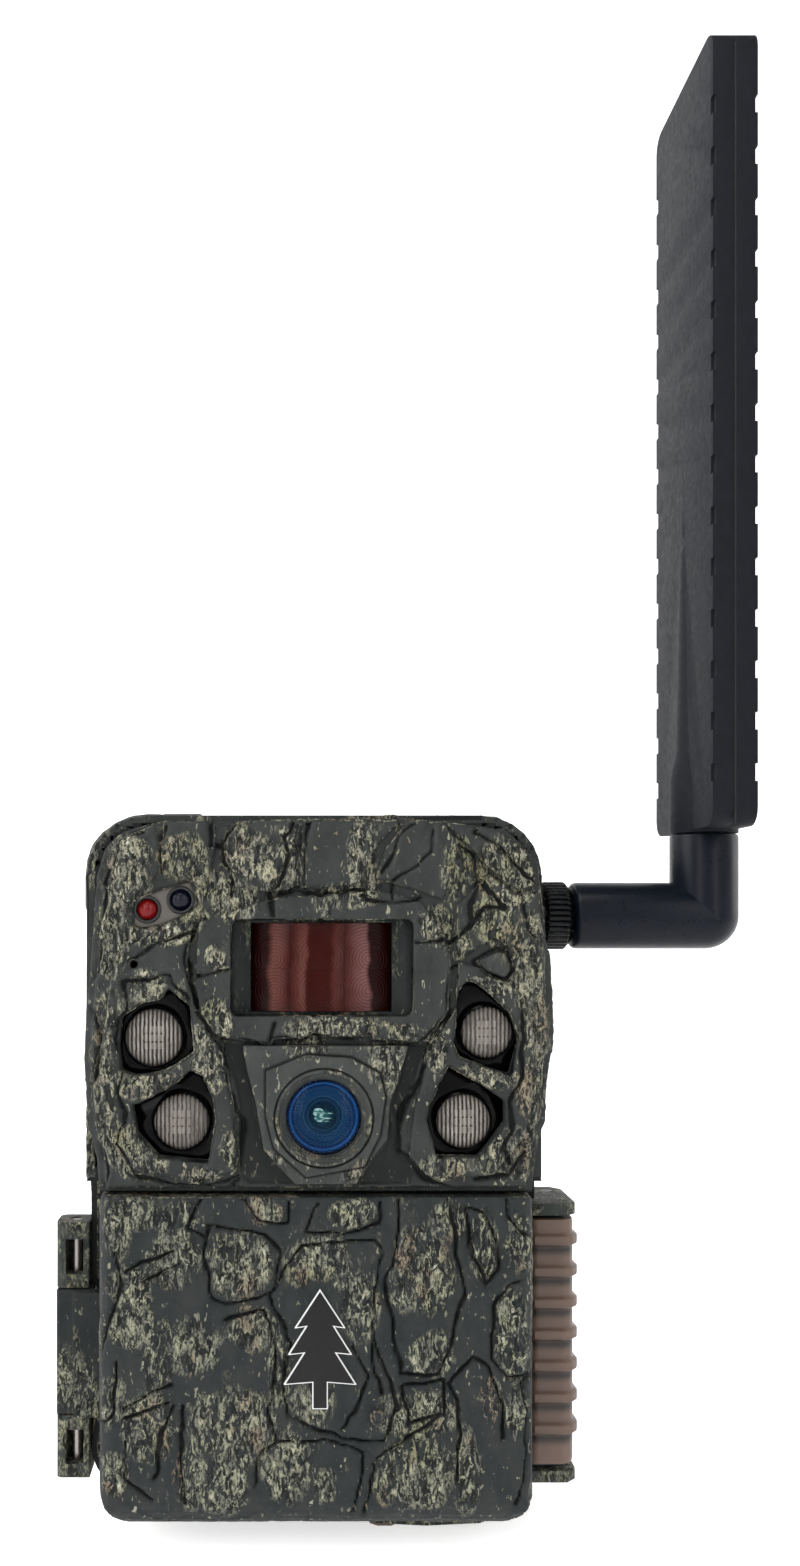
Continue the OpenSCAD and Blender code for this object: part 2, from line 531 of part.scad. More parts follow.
module antenna_elbow() color([0.05, 0.055, 0.07]) {
  difference() {
    union() {
      translate([52.6, ax_y, ax_z]) rotate([0, 90, 0]) cylinder(r1 = 6, r2 = elbow_r, h = 0.8);
      cx(ax_y, ax_z, elbow_r, 53.4, ax_x);
      translate([ax_x, ax_y, ax_z]) sphere(r = elbow_r);
      cz(ax_x, ax_y, elbow_r, ax_z, seam);
      cz(ax_x, ax_y, 4, seam - 1, seam + 4);
    }
    cx(ax_y, ax_z, 2.52, 52, 56);
    cx(ax_y, ax_z, 1.5, 55, ax_x);
    cz(ax_x, ax_y, 1.5, ax_z, seam + 5);
  }
}
module blade_body() {
  union() {
    sidewise(ax_x - blade_t / 2, ax_x + blade_t / 2) polygon(rr(ax_y - blade_w / 2, 139.2, ax_y + blade_w / 2, blade_top, [3.5, 3.5, 3.5, 3.5], 5));
    cz(ax_x, ax_y, elbow_r, seam + 0.3, 150);
    translate([ax_x, ax_y, 150]) cylinder(r1 = elbow_r, r2 = 5.5, h = 6);
    translate([ax_x, ax_y, 156]) cylinder(r1 = 5.5, r2 = 4.3, h = 60);
  }
}
module blade_notches(s) {
  for (k = [0:13], q = [-1, 1]) {
    yy = ax_y + q * (blade_w / 2);
    bx([s > 0 ? ax_x + blade_t / 2 - 0.6 : ax_x - blade_t / 2 - 1, q > 0 ? yy - 1.3 : yy - 1, 149.3 + 9.8 * k - 1.7],
       [s > 0 ? ax_x + blade_t / 2 + 1 : ax_x - blade_t / 2 + 0.6, q > 0 ? yy + 1 : yy + 1.3, 149.3 + 9.8 * k + 1.7]);
  }
}
module blade_half(s) {
  difference() {
    intersection() {
      blade_body();
      bx([s > 0 ? ax_x + 0.02 : ax_x - 10, -60, 130], [s > 0 ? ax_x + 10 : ax_x - 0.02, 10, 300]);
    }
    cz(ax_x, ax_y, 4.08, 130, 143);
    bx([ax_x - 1.9, ax_y - blade_w / 2 + 2, 144], [ax_x + 1.9, ax_y + blade_w / 2 - 2, blade_top - 2]);
    cz(ax_x, ax_y, 1.9, 142, 145);
    blade_notches(s);
  }
}
module blade_inner_shell() color([0.2, 0.21, 0.22]) blade_half(-1);
module blade_outer_shell() color([0.13, 0.13, 0.15]) blade_half(1);
module antenna_strip() color([0.7, 0.45, 0.2]) {
  bx([ax_x - 0.5, ax_y - 14, 148], [ax_x + 0.5, ax_y + 14, 284]);
}

rear_case();
mid_frame();
front_cover();
hinge_knuckles();
latch_ears();
lens_nose();
lens_ring();
lens_glass();
lens_barrel();
lens_element();
image_sensor();
pir_bezel();
pir_lens();
pir_sensor();
flash_windows();
flash_lenses();
flash_boards();
status_panel();
status_lens();
light_sensor();
microphone();
main_board();
antenna_jack();
control_panel();
display_screen();
keypad_board();
usb_port();
sd_slot();
sd_card();
door_gasket();
contact_board();
tripod_insert();
tree_bracket();
bracket_screws();
cover_screws();
door_shell();
door_badge();
door_studs();
hinge_pin();
latch_lever();
latch_grip();
latch_pin();
antenna_nut();
antenna_ferrule();
antenna_elbow();
blade_inner_shell();
blade_outer_shell();
antenna_strip();
key_up();
key_down();
key_left();
key_right();
key_ok();
mode_slider();
battery_tray();
battery_cups();
battery_cells();
tray_contacts();
rubber_feet();
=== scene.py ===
import math

import bmesh
import bpy
import numpy as np
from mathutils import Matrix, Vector


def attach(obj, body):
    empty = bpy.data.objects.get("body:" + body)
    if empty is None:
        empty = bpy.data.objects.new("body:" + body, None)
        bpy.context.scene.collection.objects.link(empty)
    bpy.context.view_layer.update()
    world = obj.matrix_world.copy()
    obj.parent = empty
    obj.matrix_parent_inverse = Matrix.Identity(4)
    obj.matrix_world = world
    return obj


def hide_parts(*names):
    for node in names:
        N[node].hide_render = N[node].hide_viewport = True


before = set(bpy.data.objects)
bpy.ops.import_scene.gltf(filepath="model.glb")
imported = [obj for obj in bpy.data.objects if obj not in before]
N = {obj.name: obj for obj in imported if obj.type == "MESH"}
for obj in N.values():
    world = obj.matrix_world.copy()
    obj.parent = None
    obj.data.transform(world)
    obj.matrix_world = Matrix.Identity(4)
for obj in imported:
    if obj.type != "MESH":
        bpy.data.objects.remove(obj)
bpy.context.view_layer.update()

SCENE = bpy.context.scene
COL = SCENE.collection
MM = 0.001

# ------------------------------------------------------------------ camera
cam_data = bpy.data.cameras.new("cam")
cam = bpy.data.objects.new("cam", cam_data)
COL.objects.link(cam)
cam_data.sensor_fit = "AUTO"
cam_data.sensor_width = 36.0
cam_data.lens = 36.0 * 1318.0 / 1566.0
cam_data.shift_x = 128.0 / 1566.0
cam_data.shift_y = 139.0 / 1566.0
cam_data.clip_start = 0.01
cam_data.clip_end = 20
cam.location = (-0.0084, -0.296, 0.1207)
cam.rotation_euler = (math.radians(90), 0, 0)
SCENE.camera = cam

# ------------------------------------------------------------------ numpy noise
def _hash(ix, iy, iz, seed):
    h = (ix.astype(np.int64) * 374761393 + iy.astype(np.int64) * 668265263 + iz.astype(np.int64) * 1440662683 + seed * 974711) & 0xFFFFFFFF
    h = ((h ^ (h >> 13)) * 1274126177) & 0xFFFFFFFF
    h = ((h ^ (h >> 15)) * 2246822519) & 0xFFFFFFFF
    return ((h ^ (h >> 16)) & 0xFFFFFF) / float(0xFFFFFF)


def vnoise(p, seed=0):
    i = np.floor(p).astype(np.int64)
    f = p - i
    f = f * f * (3 - 2 * f)
    out = 0
    for dx in (0, 1):
        wx = f[:, 0] if dx else 1 - f[:, 0]
        for dy in (0, 1):
            wy = f[:, 1] if dy else 1 - f[:, 1]
            for dz in (0, 1):
                wz = f[:, 2] if dz else 1 - f[:, 2]
                out = out + wx * wy * wz * _hash(i[:, 0] + dx, i[:, 1] + dy, i[:, 2] + dz, seed)
    return out


def fbm(p, octaves=3, seed=0, gain=0.5):
    a, s, t = 1.0, 0.0, 0.0
    for k in range(octaves):
        s = s + a * vnoise(p * (2.0 ** k) + 17.3 * k, seed + k)
        t += a
        a *= gain
    return s / t


def worley(p, seed=0):
    i = np.floor(p).astype(np.int64)
    f1 = np.full(len(p), 9.0)
    f2 = np.full(len(p), 9.0)
    cid = np.zeros(len(p))
    for dx in (-1, 0, 1):
        for dy in (-1, 0, 1):
            for dz in (-1, 0, 1):
                c = i + np.array([dx, dy, dz])
                j = np.stack([_hash(c[:, 0], c[:, 1], c[:, 2], seed + q) for q in (0, 1, 2)], 1)
                d = np.linalg.norm(c + j - p, axis=1)
                r = _hash(c[:, 0], c[:, 1], c[:, 2], seed + 3)
                closer = d < f1
                f2 = np.where(closer, f1, np.minimum(f2, d))
                cid = np.where(closer, r, cid)
                f1 = np.where(closer, d, f1)
    return f1, f2, cid


def smooth(x, a, b):
    t = np.clip((x - a) / (b - a), 0, 1)
    return t * t * (3 - 2 * t)


def seg_dist(P, lines):
    """Distance from 2D points to polylines; also the signed side of the nearest segment."""
    best = np.full(len(P), 1e9)
    side = np.zeros(len(P))
    for line in lines:
        L = np.array(line, float)
        for a, b in zip(L[:-1], L[1:]):
            d = b - a
            q = P - a
            t = np.clip((q @ d) / max(1e-9, d @ d), 0, 1)
            r = q - t[:, None] * d
            dist = np.hypot(r[:, 0], r[:, 1])
            near = dist < best
            best = np.where(near, dist, best)
            side = np.where(near, np.sign(d[0] * q[:, 1] - d[1] * q[:, 0]), side)
    return best, side


def inside(P, poly):
    L = np.array(poly, float)
    x, y = P[:, 0], P[:, 1]
    c = np.zeros(len(P), bool)
    for (x0, y0), (x1, y1) in zip(L, np.roll(L, -1, 0)):
        if y0 == y1:
            continue
        hit = ((y0 > y) != (y1 > y)) & (x < (x1 - x0) * (y - y0) / (y1 - y0) + x0)
        c ^= hit
    return c


def closed(poly):
    return [list(poly) + [poly[0]]]


# ------------------------------------------------------------------ outlines, mm, X to the right and Z up
DOOR_LINES = [
    [[-9, 49.5], [-3, 59.5], [11, 60.5], [12.5, 58.5], [11, 49.5], [11, 41.5], [15.5, 29], [13, 22], [5.5, 22.5], [-5, 26.5], [-6.5, 31.5], [-5, 41], [-9, 49.5]],
    [[-20.5, 63], [-10, 61.5], [-7, 58.5], [-7, 55.5], [-8.5, 50.5], [-12.5, 48.5], [-17.5, 48], [-20, 49.5], [-21, 57], [-20.5, 63]],
    [[16, 68.5], [15.5, 61.5], [14.5, 55.5], [13, 52.5], [16, 35], [23, 34.5]],
    [[25, 68.5], [27, 57], [28, 50.5], [25, 39], [23, 34.5]],
    [[28.5, 66.5], [29, 60], [31, 54.5], [32.5, 52], [34.5, 54.5], [34, 60], [32, 65.5], [28.5, 66.5]],
    [[39, 52.5], [36.5, 51.5], [34, 48], [33.5, 41.5], [33.5, 37.5], [36.5, 34.5], [41, 35]],
    [[25, 33], [30, 38], [33, 36], [35.5, 29], [35.5, 22.5]],
    [[25, 33], [27, 28], [27, 20.5], [27, 14.5]],
    [[16.5, 32.5], [24, 33.5], [24.5, 27], [17.5, 25.5], [16.5, 32.5]],
    [[-11.5, 13.5], [-11.5, 18.5], [-7.5, 22], [1.5, 22.5], [9, 20], [8.5, 16], [7, 8]],
    [[9, 8], [11, 18.5], [23.5, 26.5]],
    [[-38.5, 58], [-37, 52], [-39.5, 44], [-41.5, 39]],
    [[-36, 54.5], [-27, 58.5]],
    [[-33, 52.5], [-26, 56]],
    [[-36.5, 28.5], [-27.5, 33]],
    [[-36, 26.5], [-28, 29.5]],
    [[-30.5, 15], [-30, 21], [-27, 29]],
    [[36, 68.5], [36.5, 65], [39, 61.5], [41, 61.5]],
    [[41, 34.5], [39, 33.5], [40, 25.5], [39.5, 15], [38, 9.5]],
    [[-13.5, 68.5], [-11.5, 64], [-5.5, 63.5], [-5, 67.5]],
    [[0, 67.5], [-2, 62], [5, 61.5], [12, 63.5], [12.5, 67.5]],
    [[-21.5, 68.5], [-24.5, 63], [-21, 60.5]],
    [[-10, 47], [-7.5, 39], [-9, 27.5], [-7.5, 22]],
    [[-17.5, 45.5], [-10, 47]],
    [[-25, 29], [-26, 19.5], [-25, 10]],
    [[-38, 37], [-38.5, 27.5], [-41.5, 24]],
    [[-36, 22], [-36.5, 15], [-31.5, 11]],
    [[6.5, 40.5], [10, 34.5], [7.5, 27.5], [5, 24.5]],
    [[12.5, 31], [11, 36], [10.5, 40.5]],
]
COVER_LINES = [
    [[-19.5, 139.5], [-20, 135.5], [-17.5, 135], [-17, 131.5], [-16, 130], [-16, 125.5]],
    [[-15, 140], [-16, 138], [-17.5, 135.5]],
    [[-4, 140], [-5, 137.5], [-6, 136.5], [-5, 133.5], [-6, 130.5], [-7.5, 127]],
    [[-1.5, 140], [-2, 133.5], [-2.5, 127], [-7.5, 126]],
    [[19, 139.5], [15.5, 137], [14.5, 133.5], [12.5, 130]],
    [[22.5, 138.5], [22, 134], [19.5, 131.5], [16, 129.5], [14.5, 128], [14.5, 125]],
    [[-7.5, 126], [0.5, 126.5], [8.5, 126.5], [10, 125], [15, 124.5], [19.5, 125.5]],
    [[30.5, 139], [30, 137.5], [35.5, 134.5], [39, 130], [42.5, 128]],
    [[27, 135.5], [30, 133], [31, 129], [29.5, 124], [30, 120.5], [28, 118.5], [25.5, 116.5]],
    [[25.5, 116.5], [25, 117.5], [18.5, 117]],
    [[-23, 110.5], [-18.5, 111.5], [-13, 112]],
    [[-23, 119], [-25, 114], [-24, 109], [-22.5, 104], [-20, 99]],
    [[-20, 99], [-14.5, 98], [-8.5, 97.5], [-8, 101.5]],
    [[-8.5, 98.5], [10.5, 99], [10.5, 101.5]],
    [[10.5, 99], [11, 98], [19.5, 97.5], [25, 103], [25.5, 111.5], [27, 112.5]],
    [[-35.5, 113.5], [-30.5, 116.5], [-25, 118.5], [-23, 119]],
    [[-36.5, 109.5], [-32, 110], [-28, 111], [-27.5, 109], [-24.5, 106.5]],
    [[-36.5, 109.5], [-36, 104]],
    [[-39.5, 130.5], [-40, 124.5], [-41.5, 117.5], [-41.5, 111.5], [-43.5, 109]],
    [[-36, 104], [-37.5, 102], [-38, 98.5], [-37, 94], [-37.5, 88], [-36, 82.5], [-38, 79], [-34, 72.5]],
    [[-34, 72.5], [-27.5, 70.5], [-20.5, 70], [-14.5, 72.5], [-14, 83], [-16.5, 89.5], [-17.5, 97.5]],
    [[39, 106], [39, 99.5], [39, 91.5], [36.5, 86], [37.5, 82.5], [35.5, 78], [37, 75]],
    [[21.5, 97.5], [19.5, 90.5], [16.5, 83.5], [16, 76.5], [21, 72], [26, 69.5]],
    [[34.5, 115.5], [30, 113.5], [32, 111], [36, 109.5], [37.5, 111.5], [36.5, 115], [34.5, 115.5]],
    [[39.5, 124], [40.5, 119.5], [42.5, 117.5]],
    [[-29.5, 130], [-29.5, 135], [-28.5, 138.5]],
    [[-41.5, 78], [-40, 74], [-41, 69]],
    [[-33, 138], [-38, 137], [-40.5, 134]],
    [[-9, 126], [-8, 122]],
    [[31, 129], [36, 123], [32.5, 123.5], [28, 118.5]],
    [[30.5, 72], [36.5, 72.5], [40, 77]],
    [[-17.5, 69], [-14.5, 72]],
    [[-43, 104.5], [-41, 99.5], [-41.5, 93], [-43, 88]],
]
WIN_A = [[-28, 108], [-24, 105], [-23, 96], [-26.5, 93.5], [-30, 92], [-34.5, 91.5], [-37, 92.5], [-37.5, 97], [-37, 102.5], [-33, 105.5], [-30, 106]]
WIN_B = [[-24, 92.5], [-22, 92], [-19.5, 87], [-19, 83], [-20.5, 75], [-30, 76], [-34, 80.5], [-35, 86], [-33.5, 86.3], [-27.5, 89.5]]
WIN_C = [[29, 109.5], [31, 109], [36.5, 104], [38, 101], [38.5, 97.5], [37, 91.7], [33, 92.8], [27, 95], [26, 97.5], [27, 108]]
WIN_D = [[25, 93.5], [31, 90], [36, 86.5], [36, 82.5], [31, 76], [23, 76], [21, 83], [21.5, 86]]
STATUS = [[-35, 120], [-34.5, 124], [-33.5, 125.5], [-29.5, 127], [-24, 128.5], [-22.5, 124], [-25.5, 122], [-27.5, 121], [-30, 120], [-33.5, 119.5]]
PIR = [[-16.3, 102.7], [18.5, 102.7], [18.5, 121.3], [-16.3, 121.3]]
COVER_OUT = [[-42, 129.5], [-40.5, 134.5], [-37, 138], [-29, 140], [-3, 140.3], [16, 140.5], [23.5, 140], [36, 138.5], [39.5, 135.5], [42.5, 132],
  [43, 127], [44, 118], [45, 113.5], [45.5, 101], [45.5, 97.5], [44.5, 91.5], [44, 88], [44, 83], [43, 80], [42, 75.5], [41.5, 69],
  [-41.5, 69], [-42, 75.5], [-43.5, 81], [-44.5, 94.5], [-44, 103.5], [-43.5, 109.5], [-43, 115.5]]
GEM = [[34.5, 115.5], [30, 113.5], [32, 111], [36, 109.5], [37.5, 111.5], [36.5, 115]]
NOSE = [[-14, 97.2], [-13, 92], [-11.5, 86.5], [-10, 77.5], [-4, 71], [7.5, 71], [9.5, 74.5], [13.5, 79.5], [14, 86.5], [15.5, 90.5], [17.5, 97.2]]
HEPT = [[-9.5, 92.5], [-2, 95.5], [6.5, 95], [12, 92], [13, 87.5], [12, 80.5], [9, 74.5], [-2, 72.5], [-8, 78], [-9.5, 84]]
LENS = (1.4, 83.6)
F_POS = [(-31, 98.6, 5.6), (-25.7, 82.5, 5.4), (32.6, 99.6, 5.0), (28.2, 82.6, 5.3)]

# ------------------------------------------------------------------ shader helpers
class Mat:
    """A node material built from object space coordinates, in millimetres."""

    def __init__(self, name):
        self.m = bpy.data.materials.new(name)
        self.m.use_nodes = True
        self.t = self.m.node_tree
        self.t.nodes.clear()
        self.out = self.t.nodes.new("ShaderNodeOutputMaterial")
        self.bsdf = self.t.nodes.new("ShaderNodeBsdfPrincipled")
        self.t.links.new(self.bsdf.outputs[0], self.out.inputs[0])
        self.tc = self.t.nodes.new("ShaderNodeTexCoord")
        self.bumps = None

    def link(self, a, b):
        self.t.links.new(a, b)

    def coords(self, sx=1.0, sy=1.0, sz=1.0, loc=(0, 0, 0), rot=(0, 0, 0)):
        n = self.t.nodes.new("ShaderNodeMapping")
        n.inputs["Scale"].default_value = (1000 * sx, 1000 * sy, 1000 * sz)
        n.inputs["Location"].default_value = loc
        n.inputs["Rotation"].default_value = rot
        self.link(self.tc.outputs["Object"], n.inputs["Vector"])
        return n.outputs[0]

    def noise(self, vec, scale=1.0, detail=3.0, rough=0.5, dist=0.0):
        n = self.t.nodes.new("ShaderNodeTexNoise")
        n.inputs["Scale"].default_value = scale
        n.inputs["Detail"].default_value = detail
        n.inputs["Roughness"].default_value = rough
        n.inputs["Distortion"].default_value = dist
        self.link(vec, n.inputs["Vector"])
        return n.outputs["Fac"]

    def voronoi(self, vec, scale=1.0, feature="F1", out="Distance", rand=1.0):
        n = self.t.nodes.new("ShaderNodeTexVoronoi")
        n.feature = feature
        n.inputs["Scale"].default_value = scale
        n.inputs["Randomness"].default_value = rand
        self.link(vec, n.inputs["Vector"])
        return n.outputs[out]

    def wave(self, vec, scale=1.0, direction="X", dist=0.0, profile="SIN", kind="BANDS"):
        n = self.t.nodes.new("ShaderNodeTexWave")
        n.wave_type = kind
        if kind == "BANDS":
            n.bands_direction = direction
        else:
            n.rings_direction = direction
        n.wave_profile = profile
        n.inputs["Scale"].default_value = scale
        n.inputs["Distortion"].default_value = dist
        self.link(vec, n.inputs["Vector"])
        return n.outputs["Fac"]

    def ramp(self, fac, stops, interp="LINEAR"):
        n = self.t.nodes.new("ShaderNodeValToRGB")
        r = n.color_ramp
        r.interpolation = interp
        while len(r.elements) > 1:
            r.elements.remove(r.elements[-1])
        for k, (pos, col) in enumerate(stops):
            e = r.elements[0] if k == 0 else r.elements.new(pos)
            e.position = pos
            e.color = (*col, 1) if len(col) == 3 else (col[0], col[0], col[0], 1)
        self.link(fac, n.inputs[0])
        return n.outputs[0]

    def mix(self, fac, a, b, mode="MIX"):
        n = self.t.nodes.new("ShaderNodeMix")
        n.data_type = "RGBA"
        n.blend_type = mode
        for sock, v in ((n.inputs[0], fac), (n.inputs[6], a), (n.inputs[7], b)):
            if isinstance(v, (int, float)):
                sock.default_value = v
            elif isinstance(v, tuple):
                sock.default_value = (*v, 1) if len(v) == 3 else v
            else:
                self.link(v, sock)
        return n.outputs[2]

    def math(self, op, a, b=None, clamp=False):
        n = self.t.nodes.new("ShaderNodeMath")
        n.operation = op
        n.use_clamp = clamp
        for k, v in enumerate((a, b)):
            if v is None:
                continue
            if isinstance(v, (int, float)):
                n.inputs[k].default_value = v
            else:
                self.link(v, n.inputs[k])
        return n.outputs[0]

    def attr(self, name):
        n = self.t.nodes.new("ShaderNodeAttribute")
        n.attribute_name = name
        return n.outputs["Fac"]

    def bump(self, height, strength=0.3, distance_mm=0.1):
        n = self.t.nodes.new("ShaderNodeBump")
        n.inputs["Strength"].default_value = strength
        n.inputs["Distance"].default_value = distance_mm * MM
        self.link(height, n.inputs["Height"])
        if self.bumps is not None:
            self.link(self.bumps, n.inputs["Normal"])
        self.bumps = n.outputs[0]
        self.link(self.bumps, self.bsdf.inputs["Normal"])

    def set(self, **k):
        names = {"color": "Base Color", "rough": "Roughness", "metal": "Metallic", "coat": "Coat Weight", "coat_rough": "Coat Roughness",
                 "trans": "Transmission Weight", "ior": "IOR", "spec": "Specular IOR Level", "sheen": "Sheen Weight", "alpha": "Alpha",
                 "sub": "Subsurface Weight"}
        for a, v in k.items():
            s = self.bsdf.inputs[names[a]]
            if isinstance(v, (int, float)):
                s.default_value = v
            elif isinstance(v, tuple):
                s.default_value = (*v, 1)
            else:
                self.link(v, s)
        return self


def lin(r, g, b):
    f = lambda c: (c / 255 / 12.92) if c / 255 <= 0.04045 else ((c / 255 + 0.055) / 1.055) ** 2.4
    return (f(r), f(g), f(b))


def camo(name, base, base2, pale, dens=0.5, crack=True, seed=0.0, dark=(13, 16, 14), flk=None):
    """Generic woodland print: smooth grey ground, patches of upright pale flecks and a few brown ones, with painted
    shadow among the flecks and, with crack, painted shade along cracks and edges.
    """
    m = Mat(name)
    flk = crack if flk is None else flk
    big = m.noise(m.coords(1, 1, 0.5, (seed, 0, 3)), 0.085, 3, 0.55, 0.4)
    mid = m.noise(m.coords(1, 1, 0.45, (9, seed, 0)), 0.36, 4, 0.65, 0.8)
    if flk:
        n_ = m.math("ADD", m.math("MULTIPLY", big, 0.35), m.math("MULTIPLY", mid, 0.65))
        patch = m.ramp(m.math("ADD", m.math("MULTIPLY", m.attr("flk"), 0.5), n_), [(0.57, (0.0,)), (0.70, (0.55,)), (0.92, (1.0,))])
    else:
        n_ = m.math("ADD", m.math("MULTIPLY", big, 0.65), m.math("MULTIPLY", mid, 0.35))
        lo = 0.60 - 0.24 * dens
        patch = m.ramp(n_, [(lo, (0.0,)), (lo + 0.05, (0.7,)), (lo + 0.12, (1.0,))])
    ground = m.mix(m.ramp(m.noise(m.coords(1, 1, 0.6), 0.22, 4, 0.6), [(0.35, (0,)), (0.65, (1,))]), base, base2)
    # upright flecks, pale over near black painted shadow
    fl = m.noise(m.coords(1, 1, 0.40, (0, 0, seed)), 0.90, 4, 0.66, 1.1)
    cut = m.math("SUBTRACT", fl, m.math("MULTIPLY", m.math("SUBTRACT", patch, 0.8), -0.10))
    flecks = m.ramp(fl, [(0.485, (0.0,)), (0.535, (1.0,))])
    fine = m.ramp(m.noise(m.coords(1, 1, 0.5, (3, seed, 1)), 2.4, 3, 0.65, 0.4), [(0.40, (0.12,)), (0.56, (1.0,))])
    tone = m.noise(m.coords(1, 1, 0.5, (seed, 5, 0)), 0.55, 4, 0.75)
    grey = sum(pale) / 3
    pale_c = m.ramp(tone, [(0.28, tuple(c * 0.26 for c in pale)), (0.44, tuple(c * 0.30 + grey * 0.22 for c in pale)), (0.58, tuple(c * 0.88 for c in pale)), (0.74, tuple(min(1, c * 0.7 + grey * 0.85) for c in pale))])
    brown = m.ramp(m.noise(m.coords(1, 1, 0.5, (40, seed, 7)), 0.13, 2, 0.5), [(0.56, (0,)), (0.64, (1,))])
    pale_c = m.mix(m.math("MULTIPLY", brown, 0.65), pale_c, lin(128, 108, 88))
    green = m.ramp(m.noise(m.coords(1, 1, 0.5, (14, seed, 27)), 0.10, 2, 0.5), [(0.56, (0,)), (0.66, (1,))])
    pale_c = m.mix(m.math("MULTIPLY", green, 0.35), pale_c, lin(132, 132, 86))
    # painted shadow: inside the patches, dark colour between the flecks stands for the shadows of the flaky relief
    shade = m.ramp(m.noise(m.coords(1, 1, 0.36, (7, 2, seed)), 1.0, 3, 0.6, 0.8), [(0.45, (1.0,)), (0.55, (0.0,))])
    col = m.mix(m.math("MULTIPLY", m.math("MULTIPLY", patch, shade), 0.9), ground, lin(*dark))
    col = m.mix(m.math("MULTIPLY", m.math("MULTIPLY", patch, flecks), fine), col, pale_c)
    # scattered flecks outside the patches
    sc = m.ramp(m.noise(m.coords(1, 1, 0.45, (5, 5, seed)), 1.15, 2, 0.5, 0.5), [(0.66, (0.0,)), (0.70, (0.7,))])
    col = m.mix(sc, col, pale_c)
    if crack:
        # painted shade: cracks and edges marked by the shade attribute are darkened to near black, standing for the
        # shade in the grooves
        k = m.attr("painted_shade")
        col = m.mix(m.ramp(k, [(0.12, (0.0,)), (0.60, (0.96,))]), col, lin(7, 9, 9))
        col = m.mix(m.attr("inr"), col, lin(26, 27, 28))  # bare moulding inside the shells
    m.set(color=col, rough=m.ramp(m.noise(m.coords(), 1.2, 3, 0.6), [(0.3, (0.52,)), (0.7, (0.70,))]), spec=0.17)
    m.bump(m.math("MULTIPLY", fl, patch), 0.6, 0.45)
    m.bump(m.noise(m.coords(), 6.0, 2, 0.5), 0.22, 0.06)
    return m.m


def plastic(name, col, col2=None, rough=0.5, grain=7.0, depth=0.04, coat=0.0, strength=0.25, spec=0.5):
    m = Mat(name)
    col2 = col2 or tuple(c * 1.5 + 0.002 for c in col)
    c = m.mix(m.noise(m.coords(), 0.35, 4, 0.6), col, col2)
    wear = m.ramp(m.noise(m.coords(), 1.7, 4, 0.7), [(0.62, (0,)), (0.85, (0.35,))])
    c = m.mix(wear, c, tuple(min(1, x * 1.9 + 0.006) for x in col2))
    m.set(color=c, rough=m.ramp(m.noise(m.coords(), 0.8, 4, 0.6), [(0.3, (rough * 0.88,)), (0.7, (min(1, rough * 1.14),))]), coat=coat, spec=spec)
    m.bump(m.noise(m.coords(), grain, 2, 0.5), strength, depth)
    return m.m


def metal(name, col, rough=0.28, stretch=(1, 1, 12), scale=1.2):
    m = Mat(name)
    n = m.noise(m.coords(*stretch), scale, 4, 0.6)
    c = m.mix(n, tuple(x * 0.82 for x in col), tuple(min(1, x * 1.08) for x in col))
    stain = m.ramp(m.noise(m.coords(), 0.3, 4, 0.65), [(0.55, (0,)), (0.8, (0.45,))])
    c = m.mix(stain, c, tuple(x * 0.55 for x in col))
    m.set(color=c, metal=1.0, rough=m.ramp(n, [(0.3, (rough * 0.8,)), (0.7, (rough * 1.4,))]))
    m.bump(n, 0.12, 0.02)
    return m.m


def pcb(name):
    m = Mat(name)
    br = m.t.nodes.new("ShaderNodeTexBrick")
    br.inputs["Scale"].default_value = 0.35
    br.inputs["Mortar Size"].default_value = 0.05
    m.link(m.coords(rot=(math.radians(90), 0, 0)), br.inputs["Vector"])
    traces = m.ramp(m.wave(m.coords(1, 1, 1), 0.5, "Z", 1.5), [(0.80, (0,)), (0.86, (1,))])
    c = m.mix(m.noise(m.coords(), 0.2, 3, 0.6), lin(14, 62, 34), lin(22, 84, 46))
    c = m.mix(m.math("MULTIPLY", traces, 0.5), c, lin(50, 120, 70))
    c = m.mix(m.math("MULTIPLY", br.outputs["Fac"], 0.6), c, lin(160, 140, 80))
    m.set(color=c, rough=0.35, coat=0.3)
    m.bump(traces, 0.3, 0.05)
    return m.m


def setmat(o, *mats):
    o.data.materials.clear()
    for x in mats:
        o.data.materials.append(x)


# ------------------------------------------------------------------ mesh helpers
def new_obj(name, verts, faces, smooth_faces=True):
    me = bpy.data.meshes.new(name)
    me.from_pydata([tuple(v) for v in verts], [], [tuple(f) for f in faces])
    me.validate()
    me.update()
    if smooth_faces:
        me.polygons.foreach_set("use_smooth", np.ones(len(me.polygons), bool))
    o = bpy.data.objects.new(name, me)
    COL.objects.link(o)
    return o


def get_co(me):
    co = np.empty(len(me.vertices) * 3, np.float32)
    me.vertices.foreach_get("co", co)
    return co.reshape(-1, 3).astype(float)


def copy_nodes(name, nodes):
    """One new mesh with the shapes of CAD nodes, welded."""
    bm = bmesh.new()
    for n in nodes:
        bm.from_mesh(N[n].data)
    bmesh.ops.remove_doubles(bm, verts=bm.verts, dist=2e-6)
    me = bpy.data.meshes.new(name)
    bm.to_mesh(me)
    bm.free()
    o = bpy.data.objects.new(name, me)
    COL.objects.link(o)
    return o


def apply_mods(o):
    dg = bpy.context.evaluated_depsgraph_get()
    dg.update()
    me = bpy.data.meshes.new_from_object(o.evaluated_get(dg), depsgraph=dg)
    old = o.data
    o.modifiers.clear()
    o.data = me
    bpy.data.meshes.remove(old)
    return o


def sharp_smooth(o, angle=32):
    me = o.data
    bm = bmesh.new()
    bm.from_mesh(me)
    lim = math.radians(angle)
    for e in bm.edges:
        e.smooth = not (len(e.link_faces) == 2 and e.calc_face_angle(0) > lim)
    for f in bm.faces:
        f.smooth = True
    bm.to_mesh(me)
    bm.free()


